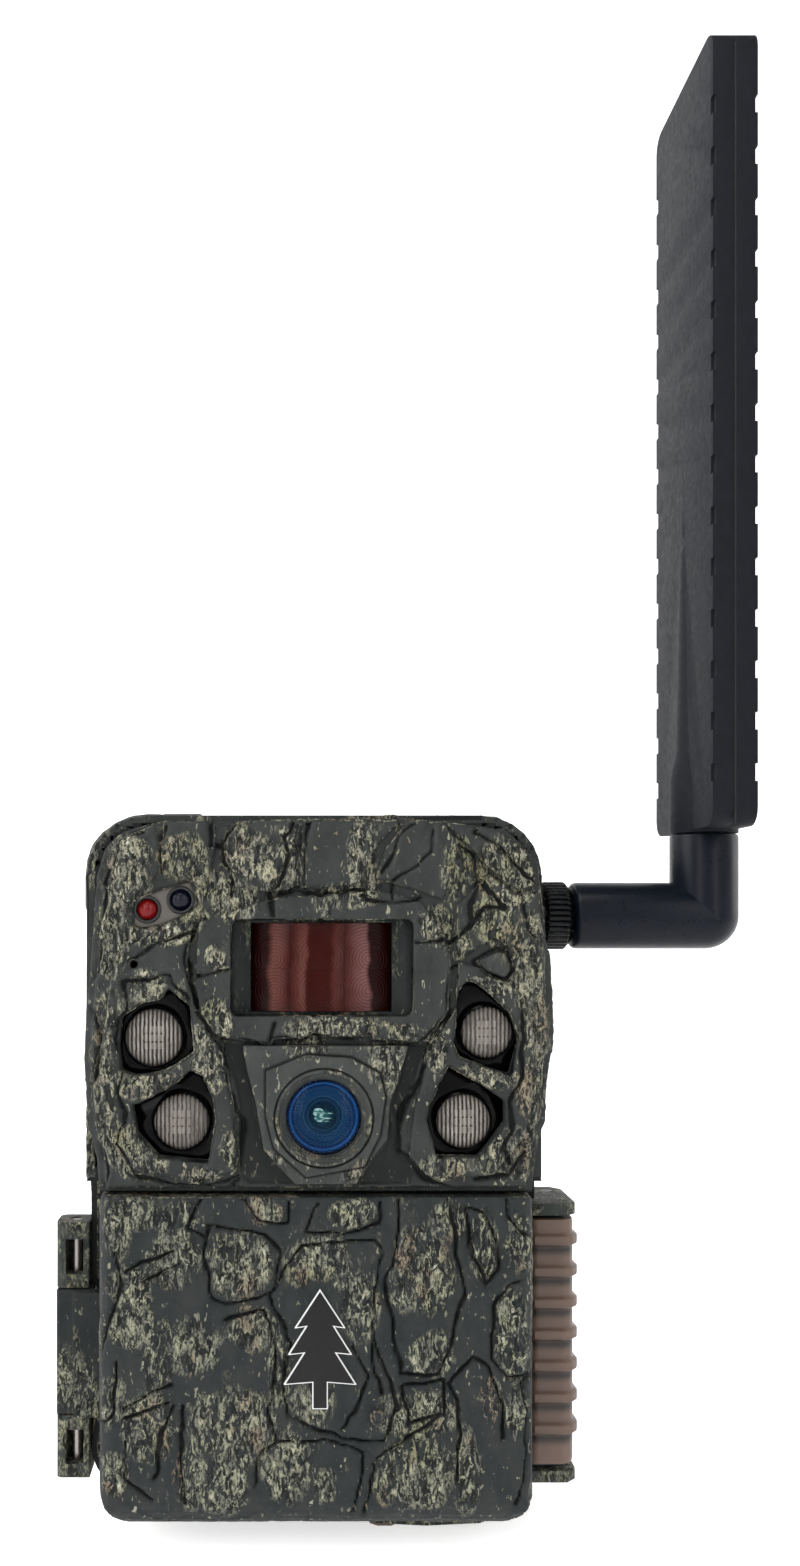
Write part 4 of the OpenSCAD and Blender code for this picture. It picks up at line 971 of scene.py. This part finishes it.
# ------------------------------------------------------------------ motion sensor window
def pir_sheet():
    R = 30.0
    x0, x1, z0, z1 = -12.35, 14.55, 103.55, 120.45
    nx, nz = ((420, 240))
    xs = np.linspace(x0, x1, nx)
    zs = np.linspace(z0, z1, nz)
    X, Z = np.meshgrid(xs, zs)
    y = -43.6 + R - np.sqrt(R * R - (X - 1.1) ** 2)
    # fresnel fields: three across on top, two rows of arcs below
    cxs = (-7.9, 1.1, 10.1)
    up = Z > 111.6
    d = np.zeros_like(X)
    for c in cxs:
        inb = np.abs(X - c) <= 4.5
        rr_ = np.hypot(X - c, Z - 113.6)
        rl = np.hypot(X - c, Z - 107.4)
        d = np.where(inb & up, rr_, d)
        d = np.where(inb & ~up, rl, d)
    saw = np.mod(d, 0.62) / 0.62
    y = y + 0.045 * saw
    edge = np.minimum.reduce([np.abs(X - e) for e in (-3.4, 5.6)] + [np.abs(Z - 111.6)])
    y = y + 0.08 * np.exp(-((edge / 0.12) ** 2))
    v = np.stack([X, y, Z], -1).reshape(-1, 3) * MM
    idx = np.arange(nx * nz).reshape(nz, nx)
    f = np.stack([idx[:-1, :-1], idx[:-1, 1:], idx[1:, 1:], idx[1:, :-1]], -1).reshape(-1, 4)
    o = new_obj("pir_sheet", v, f.tolist())
    # painted shade: darkest at each fresnel step, fading between the steps
    a = o.data.attributes.new("painted_shade", "FLOAT", "POINT")
    a.data.foreach_set("value", (0.5 + 0.5 * np.cos(2 * np.pi * saw)).astype(np.float32).ravel())
    return o


pir = pir_sheet()
m = Mat("pir_red")
pn = m.noise(m.coords(1, 1, 0.3), 0.12, 3, 0.5)
arcs = m.wave(m.coords(), 0.16, "Z", 0.0, kind="BANDS")
sep = m.t.nodes.new("ShaderNodeSeparateXYZ")
m.link(m.coords(), sep.inputs[0])
warp = m.math("MULTIPLY", m.math("SUBTRACT", m.noise(m.coords(0.15, 1, 1), 0.22, 3, 0.5), 0.5), 0.10)
# painted reflections: pale pinkish bands across X stand for lamp reflections on the curved sheet, over its own dark
# red, which is darker towards the left and right edges
painted_reflection_bands = m.ramp(m.math("ADD", m.math("ADD", m.math("DIVIDE", sep.outputs[0], 30.0), 0.46), warp), [(0.06, lin(10, 1, 1)), (0.15, lin(24, 4, 2)), (0.185, lin(112, 68, 62)), (0.26, lin(78, 34, 29)), (0.29, lin(44, 8, 4)), (0.33, lin(78, 36, 31)), (0.385, lin(100, 58, 52)), (0.41, lin(46, 7, 3)), (0.55, lin(50, 8, 4)),
                                                                                      (0.585, lin(82, 42, 37)), (0.64, lin(54, 14, 10)), (0.70, lin(94, 56, 52)), (0.785, lin(122, 84, 82)), (0.81, lin(24, 4, 2)), (0.93, lin(12, 2, 1))])
red_ = m.mix(m.math("MULTIPLY", pn, 0.25), painted_reflection_bands, lin(60, 13, 8))
# painted shade at the fresnel steps from the shade attribute
m.set(color=m.mix(m.math("MULTIPLY", m.attr("painted_shade"), 0.42), red_, lin(30, 5, 3)), rough=0.10, spec=0.10)
m.bump(m.noise(m.coords(1, 1, 0.2), 0.5, 2, 0.5), 0.06, 0.08)
setmat(pir, m.m)
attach(pir, "case")
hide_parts("pir_lens")

WALLM = camo("camo_recess", lin(24, 27, 28), lin(33, 36, 36), lin(104, 105, 86), 0.42, crack=False, seed=77.0)
bez = bevelled("pir_bezel", "case", WALLM, 0.18, 2)

# ------------------------------------------------------------------ flash windows and lenses
def flash_lens(k, x, z, r):
    n = 220
    xs = np.linspace(-r, r, n)
    v, f, tone = [], [], []
    idx = -np.ones((n, n), int)
    pitch = 0.80
    for i, a in enumerate(xs):
        for j, b in enumerate(xs):
            rad = math.hypot(a, b)
            if rad <= r:
                ph = abs(math.sin(math.pi * (a / pitch + 0.25)))
                y = -44.25 + (rad / r) ** 2 * 0.75 - 0.28 * ph * (1 if rad < r * 0.93 else max(0.0, (r - rad) / (r * 0.07)))
                # painted shade: darker towards the rim of each lens
                edge_shade = max(0.0, (rad / r - 0.62) / 0.38) ** 1.5 * 0.75
                die = 1.0 if abs(a) < 1.75 and abs(b) < 2.4 and abs(math.sin(math.pi * (a + 0.9) / 1.75)) > 0.38 and abs(math.sin(math.pi * (b + 0.8) / 1.6)) > 0.34 else 0.0
                tone.append((edge_shade, die))
                idx[i, j] = len(v)
                v.append(((x + a) * MM, y * MM, (z + b) * MM))
    for i in range(n - 1):
        for j in range(n - 1):
            q = [idx[i, j], idx[i + 1, j], idx[i + 1, j + 1], idx[i, j + 1]]
            if min(q) >= 0:
                f.append(q)
    o = new_obj("flash_lens_%d" % k, v, f)
    for key, col in (("painted_shade", 0), ("flk", 1)):
        at = o.data.attributes.new(key, "FLOAT", "POINT")
        at.data.foreach_set("value", np.array([q[col] for q in tone], np.float32))
    return o


m = Mat("flash_ribbed")
sep = m.t.nodes.new("ShaderNodeSeparateXYZ")
m.link(m.coords(), sep.inputs[0])
wob = m.math("MULTIPLY", m.math("SUBTRACT", m.noise(m.coords(1, 1, 1), 0.9, 2, 0.5), 0.5), 1.3)
ph = m.math("ABSOLUTE", m.math("SINE", m.math("ADD", m.math("MULTIPLY", sep.outputs[0], math.pi / 0.80), wob)))
# painted highlight and shade: light and dark stripes follow the ribs, standing for their lit faces and reflections
painted_rib_light = m.ramp(ph, [(0.12, lin(22, 19, 17)), (0.40, lin(66, 60, 55)), (0.68, lin(112, 107, 100)), (0.95, lin(148, 144, 136))])
blot = m.ramp(m.noise(m.coords(), 0.35, 3, 0.6), [(0.35, (0.0,)), (0.7, (0.65,))])
painted_rib_light = m.mix(blot, painted_rib_light, lin(158, 143, 132), "MULTIPLY")
painted_rib_light = m.mix(m.math("MULTIPLY", m.attr("flk"), 0.5), painted_rib_light, lin(150, 144, 137))
# painted shade towards the rim from the shade attribute
painted_rib_light = m.mix(m.attr("painted_shade"), painted_rib_light, lin(36, 30, 28))
m.set(color=painted_rib_light, rough=0.2, spec=0.5, metal=0.1)
m.bump(m.noise(m.coords(), 2.0, 2, 0.5), 0.05, 0.03)
FLASH = m.m
rims = []
for k, (x, z, r) in enumerate(F_POS):
    o = flash_lens(k, x, z, r - 0.12)
    setmat(o, FLASH)
    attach(o, "case")
    if k == 0:
        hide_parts("flash_lenses")
    rim = lathe("flash_rim_%d" % k, [(r - 0.15, -43.3), (r - 0.12, -43.75), (r + 0.02, -43.9), (r + 0.25, -43.75), (r + 0.32, -43.2), (r + 0.32, -41.9)], (x, z), steps=72)
    setmat(rim, GLOSS)
    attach(rim, "case")
wins = bevelled("flash_windows", "case", GLOSS, 0.15, 2)
gem = prism("gem_facet", [[30.9, 113.3], [32.4, 111.4], [35.8, 110.1], [36.9, 111.6], [36.1, 114.6], [34.5, 115.0]], -46.15, -44.6, 0.6, 3)
setmat(gem, C_NOSE)
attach(gem, "case")

# ------------------------------------------------------------------ status plate
stat = bevelled("status_panel", "case", STATM, 0.15, 2)
for node_, mat_, (x, z) in (("status_lens", RED, (-32.3, 123.1)), ("light_sensor", NAVY, (-25.9, 124.9))):
    o = lathe(node_ + "_dome", [(1.9, -40.5), (1.9, -43.4), (1.7, -43.75), (1.3, -44.1), (0.8, -44.3), (0.35, -44.4), (0.0, -44.42)], (x, z), steps=48)
    setmat(o, mat_)
    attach(o, "case")
    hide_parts(node_)
    w = lathe(node_ + "_well", [(2.0, -43.5), (2.15, -43.85), (2.45, -43.95), (2.7, -43.8), (2.75, -43.4)], (x, z), steps=48)
    setmat(w, BLACK)
    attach(w, "case")

# ------------------------------------------------------------------ badge: plain conifer
PINE = [[0, 15], [4.2, 8.6], [2.2, 8.9], [5.4, 3.8], [2.6, 4.1], [6.2, -1.6], [1.2, -1.2], [1.2, -6], [-1.2, -6], [-1.2, -1.2], [-6.2, -1.6], [-2.6, 4.1], [-5.4, 3.8], [-2.2, 8.9], [-4.2, 8.6]]


def shifted(s, grow, dx, dz):
    P_ = np.array(PINE) * s
    n = len(P_)
    out = []
    for i in range(n):
        a, b, c = P_[i - 1], P_[i], P_[(i + 1) % n]
        e1 = (b - a) / np.linalg.norm(b - a)
        e2 = (c - b) / np.linalg.norm(c - b)
        n1 = np.array([-e1[1], e1[0]])
        n2 = np.array([-e2[1], e2[0]])
        bis = n1 + n2
        bis = bis / max(0.35, bis @ bis / 2) / 2 * 1.0
        L_ = np.linalg.norm(bis)
        if L_ > 1.7:
            bis = bis / L_ * 1.7
        out.append([float(b[0] + bis[0] * grow + dx), float(b[1] + bis[1] * grow + dz)])
    return out


outline = prism("badge_outline", shifted(1.05, 0.42, 0.7, 35), -46.62, -45.6, 0.06, 2)
WHITE = plastic("badge_white", lin(214, 216, 214), lin(232, 233, 231), 0.4, 4.0, 0.01)
setmat(outline, WHITE)
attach(outline, "door")
badge = prism("badge_tree", shifted(1.05, 0.0, 0.7, 35), -46.74, -45.6, 0.08, 2)
setmat(badge, plastic("badge_black", lin(16, 14, 15), lin(22, 20, 21), 0.5, 4.0, 0.01, 0.0, 0.25, 0.25))
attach(badge, "door")
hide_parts("door_badge")
for k, (x, z, r) in enumerate([(-26, 60.5, 0.7), (11.5, 26.8, 1.5), (-29.5, 31, 0.6), (24, 58, 0.5)]):
    o = lathe("door_stud_%d" % k, [(r, -45.2), (r, -46.25), (r * 0.86, -46.45), (r * 0.66, -46.42), (r * 0.6, -46.2), (r * 0.45, -46.25), (0.0, -46.35)], (x, z), steps=32)
    setmat(o, C_SMALL)
    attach(o, "door")
    if k == 0:
        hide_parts("door_studs")

# ------------------------------------------------------------------ latch
lever = bevelled("latch_lever", "latch", BLACK, 0.4, 3)


def grip_form():
    """Rubber grip: one section swept upwards, swelling at each rib."""
    base = [(43, -29.95), (43, -30.6), (44.4, -31.8), (50.0, -31.8), (51.4, -31.1), (52.1, -30.2), (52.4, -29.2), (52.4, -20.8), (52.1, -20.5), (50.93, -20.5), (50.93, -29.2), (50.2, -29.93)]
    # outward moves for the rib, per point
    grow = [0, 0.15, 0.75, 1.0, 1.0, 1.0, 1.0, 0.85, 0.3, 0, 0, 0]
    nrm = [(-1, 0), (-1, -0.3), (-0.3, -1), (0, -1), (0.45, -0.9), (0.9, -0.45), (1, 0), (1, 0), (0.7, 0.7), (0, 0), (0, 0), (0, 0)]
    # finer section
    pts, gs, ns = [], [], []
    n = len(base)
    for i in range(n):
        j = (i + 1) % n
        steps = 6 if i in (2, 6) else 3
        if i in (9, 10, 11, 0):
            steps = 1
        for s in range(steps):
            t = s / steps
            pts.append(np.array(base[i]) * (1 - t) + np.array(base[j]) * t)
            gs.append(grow[i] * (1 - t) + grow[j] * t)
            ns.append(np.array(nrm[i]) * (1 - t) + np.array(nrm[j]) * t)
    zs = np.arange(12.0, 61.01, 0.18)
    v, f, shade = [], [], []
    for z in zs:
        k = 0.0
        for i in range(7):
            c = 56.95 - 6.3 * i
            d = abs(z - c)
            t_ = min(1.0, max(0.0, (1.45 - d) / 0.75))
            k = max(k, t_ * t_ * (3 - 2 * t_))
        end = min(1.0, (z - 12.0) / 0.8 + 0.05, (61.0 - z) / 0.8 + 0.05)
        for p, g_, n_ in zip(pts, gs, ns):
            q = p + n_ * g_ * (0.95 * k - 0.12 * (1 - end))
            v.append((q[0] * MM, q[1] * MM, z * MM))
            # painted shadow: darkest just below each rib, faint just above it, plus a little on the inner face
            lo = 0.0
            for i in range(7):
                c = 56.95 - 6.3 * i
                lo = max(lo, math.exp(-(((z - (c - 1.95)) / 1.05) ** 2)) * 0.98, math.exp(-(((z - (c + 1.65)) / 0.5) ** 2)) * 0.08)
            shade.append(lo * min(1.0, g_ * 1.3) + (0.12 if q[0] < 43.4 else 0.0))
    m_ = len(pts)
    for a in range(len(zs) - 1):
        for i in range(m_):
            j = (i + 1) % m_
            f.append([a * m_ + i, a * m_ + j, (a + 1) * m_ + j, (a + 1) * m_ + i])
    f.append(list(range(m_ - 1, -1, -1)))
    f.append([(len(zs) - 1) * m_ + i for i in range(m_)])
    o = new_obj("latch_grip_form", v, f)
    at = o.data.attributes.new("painted_shade", "FLOAT", "POINT")
    at.data.foreach_set("value", np.array(shade, np.float32))
    bm = bmesh.new()
    bm.from_mesh(o.data)
    bmesh.ops.recalc_face_normals(bm, faces=bm.faces)
    bm.to_mesh(o.data)
    bm.free()
    sharp_smooth(o, 50)
    return o


grip = grip_form()
m = Mat("grip_rubber")
c_ = m.mix(m.noise(m.coords(), 0.35, 4, 0.6), lin(86, 68, 58), lin(100, 81, 70))
# painted shadow under the ribs from the shade attribute
c_ = m.mix(m.attr("painted_shade"), c_, lin(22, 15, 12))
m.set(color=c_, rough=m.ramp(m.noise(m.coords(), 0.8, 4, 0.6), [(0.3, (0.34,)), (0.7, (0.5,))]), spec=0.4)
m.bump(m.noise(m.coords(), 4.0, 2, 0.5), 0.3, 0.05)
setmat(grip, m.m)
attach(grip, "latch")
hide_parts("latch_grip")

# ------------------------------------------------------------------ antenna
inner = bevelled("blade_inner_shell", "blade", BLADE, 0.35, 2)
outer_ = bevelled("blade_outer_shell", "blade", BLADE, 0.35, 2)


seam = prism("blade_seam", [[79.78, 139.6], [80.02, 139.6], [80.02, 288.4], [79.78, 288.4]], -44.96, -44.4)
setmat(seam, RUBBER_K)
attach(seam, "blade")


def nut_form():
    n = 36
    prof = [(46.6, 6.0), (46.75, 6.5), (47.0, 6.9), (50.9, 6.9), (51.2, 6.7), (51.4, 6.35), (51.9, 5.9), (52.3, 5.4)]
    steps = n * 6
    v, f = [], []
    for k in range(steps):
        a = 2 * math.pi * k / steps
        t = (k % 6) / 6
        kn = max(0.0, math.sin(math.pi * t)) ** 0.6
        for x, r in prof:
            rr_ = r - 0.5 * (1 - kn) * (1 if 46.9 < x < 51.3 else 0)
            v.append((x * MM, (-26.4 + rr_ * math.cos(a)) * MM, (122 + rr_ * math.sin(a)) * MM))
    # bore
    off = len(v)
    bore = [(52.3, 2.62), (51.2, 2.62), (51.2, 3.36), (46.6, 3.36)]
    for k in range(steps):
        a = 2 * math.pi * k / steps
        for x, r in bore:
            v.append((x * MM, (-26.4 + r * math.cos(a)) * MM, (122 + r * math.sin(a)) * MM))
    p, q = len(prof), len(bore)
    for k in range(steps):
        k2 = (k + 1) % steps
        for i in range(p - 1):
            f.append([k * p + i, k * p + i + 1, k2 * p + i + 1, k2 * p + i])
        for i in range(q - 1):
            f.append([off + k * q + i, off + k * q + i + 1, off + k2 * q + i + 1, off + k2 * q + i])
        f.append([k * p + p - 1, off + k * q, off + k2 * q, k2 * p + p - 1])
        f.append([k * p, k2 * p, off + k2 * q + q - 1, off + k * q + q - 1])
    o = new_obj("antenna_nut_form", v, f)
    bm = bmesh.new()
    bm.from_mesh(o.data)
    bmesh.ops.recalc_face_normals(bm, faces=bm.faces)
    bm.to_mesh(o.data)
    bm.free()
    sharp_smooth(o, 40)
    return o


nut = nut_form()
setmat(nut, NUTM)
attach(nut, "nut")
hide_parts("antenna_nut")


def elbow_form():
    """Barrel, mitred corner with a ball, and riser, as one lathed pair."""
    parts = []
    a = lathe("e1", [(2.55, 56), (2.55, 52.6), (5.9, 52.6), (6.3, 52.75), (6.6, 53.05), (6.75, 53.6), (6.75, 79.9)], (-26.4, 122), axis="X", steps=96)
    b = lathe("e2", [(6.75, 122), (6.75, 137.9), (6.65, 138.3), (6.3, 138.5), (4.0, 138.5), (4.0, 142.2), (3.7, 142.5), (1.5, 142.5), (1.5, 124)], (79.9, -26.4), axis="Z", steps=96)
    bm = bmesh.new()
    for o_ in (a, b):
        bm.from_mesh(o_.data)
    tmp = bmesh.new()
    bmesh.ops.create_uvsphere(tmp, u_segments=96, v_segments=64, radius=6.75 * MM)
    bmesh.ops.translate(tmp, verts=tmp.verts, vec=Vector((79.9, -26.4, 122)) * MM)
    me_ = bpy.data.meshes.new("t")
    tmp.to_mesh(me_)
    tmp.free()
    bm.from_mesh(me_)
    me = bpy.data.meshes.new("antenna_elbow_form")
    bm.to_mesh(me)
    bm.free()
    for o_ in (a, b):
        bpy.data.objects.remove(o_)
    o = bpy.data.objects.new("antenna_elbow_form", me)
    COL.objects.link(o)
    sharp_smooth(o, 35)
    return o


elbow = elbow_form()
setmat(elbow, ELBOW)
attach(elbow, "antenna_base")
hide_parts("antenna_elbow")

# ------------------------------------------------------------------ bracket, feet and the controls
bevelled("tree_bracket", "case", BRACKET, 0.5, 2)
bevelled("control_panel", "case", BLACK_IN, 0.2, 2)
bevelled("display_screen", "case", DISP, 0.25, 2)
bevelled("rubber_feet", "tray", RUBBER, 0.2, 2)
for n in ("key_up", "key_down", "key_left", "key_right"):
    bevelled(n, n.split("_")[1] + "_key", KEYM, 0.35, 3)
bevelled("key_ok", "ok_key", RUBBER, 0.35, 3)
bevelled("mode_slider", "mode_switch", RUBBER, 0.25, 2)
bevelled("battery_cups", "tray", BLACK_IN, 0.3, 2)
bevelled("battery_cells", "tray", CELLM, 0.4, 3)
bevelled("sd_card", "card", CARD, 0.2, 2)
bevelled("bracket_screws", "case", STEEL, 0.15, 2)

keep = {"image_sensor": GREENC, "pir_sensor": SHEET, "flash_boards": PCB, "microphone": RUBBER_K, "main_board": PCB, "antenna_jack": STEEL, "keypad_board": PCB,
        "usb_port": SHEET, "sd_slot": SHEET, "door_gasket": RUBBER_K, "contact_board": PCB, "tripod_insert": BRASS, "cover_screws": STEEL, "hinge_pin": STEEL,
        "latch_pin": PIN, "antenna_ferrule": BRASS, "antenna_strip": COPPER, "tray_contacts": SHEET}
for n, mt in keep.items():
    setmat(N[n], mt)

# ------------------------------------------------------------------ stage: pale dish, soft light
def dish():
    v, f = [], []
    prof = [(0, 0)] + [(r, 0) for r in (0.1, 0.25, 0.5, 0.9, 1.4)]
    for k in range(1, 13):
        a = math.radians(90 * k / 12)
        prof.append((1.4 + 0.9 * math.sin(a), 0.9 * (1 - math.cos(a))))
    prof.append((2.3, 3.0))
    steps = 96
    for k in range(steps):
        a = 2 * math.pi * k / steps
        for r, z in prof[1:]:
            v.append((r * math.cos(a), r * math.sin(a), z))
    n = len(prof) - 1
    c = len(v)
    v.append((0, 0, 0))
    for k in range(steps):
        k2 = (k + 1) % steps
        f.append([c, k * n, k2 * n])
        for i in range(n - 1):
            f.append([k * n + i, k * n + i + 1, k2 * n + i + 1, k2 * n + i])
    o = new_obj("studio_floor", v, f)
    return o


floor = dish()
m = Mat("studio_paper")
m.set(color=m.mix(m.noise(m.coords(), 0.01, 2, 0.5), (0.88, 0.88, 0.88), (0.92, 0.92, 0.92)), rough=0.9, spec=0.1)
m.bsdf.inputs["Emission Color"].default_value = (1, 1, 1, 1)
sep = m.t.nodes.new("ShaderNodeSeparateXYZ")
m.link(m.tc.outputs["Object"], sep.inputs[0])
m.link(m.ramp(m.math("ADD", m.math("MULTIPLY", sep.outputs[1], 1.0), 0.5), [(0.15, (0.02,)), (0.42, (0.62,))]), m.bsdf.inputs["Emission Strength"])
setmat(floor, m.m)

w = bpy.data.worlds.new("studio")
SCENE.world = w
w.use_nodes = True
w.node_tree.nodes["Background"].inputs[0].default_value = (1, 1, 1, 1)
w.node_tree.nodes["Background"].inputs[1].default_value = 0.22
SCENE.view_settings.view_transform = "Standard"


def area(name, loc, target, size, size_y, power, color=(1, 1, 1)):
    d = bpy.data.lights.new(name, "AREA")
    d.shape = "RECTANGLE"
    d.size, d.size_y = size, size_y
    d.energy = power
    d.color = color
    o = bpy.data.objects.new(name, d)
    COL.objects.link(o)
    o.location = loc
    o.rotation_euler = (Vector(target) - Vector(loc)).to_track_quat("-Z", "Y").to_euler()
    return o


area("key_left", (-0.42, -0.87, 0.40), (0, -0.03, 0.11), 0.24, 0.85, 1.5)
area("key_right", (0.44, -0.86, 0.40), (0, -0.03, 0.11), 0.24, 0.85, 1.3)
area("top", (-0.25, -0.45, 1.15), (0, -0.02, 0.1), 0.7, 0.5, 4.6)
area("fill_left", (-0.95, -0.25, 0.5), (0, -0.02, 0.13), 0.6, 0.9, 5.5)
area("rim_right", (0.9, 0.15, 0.5), (0.05, 0, 0.14), 0.3, 0.9, 1.5)
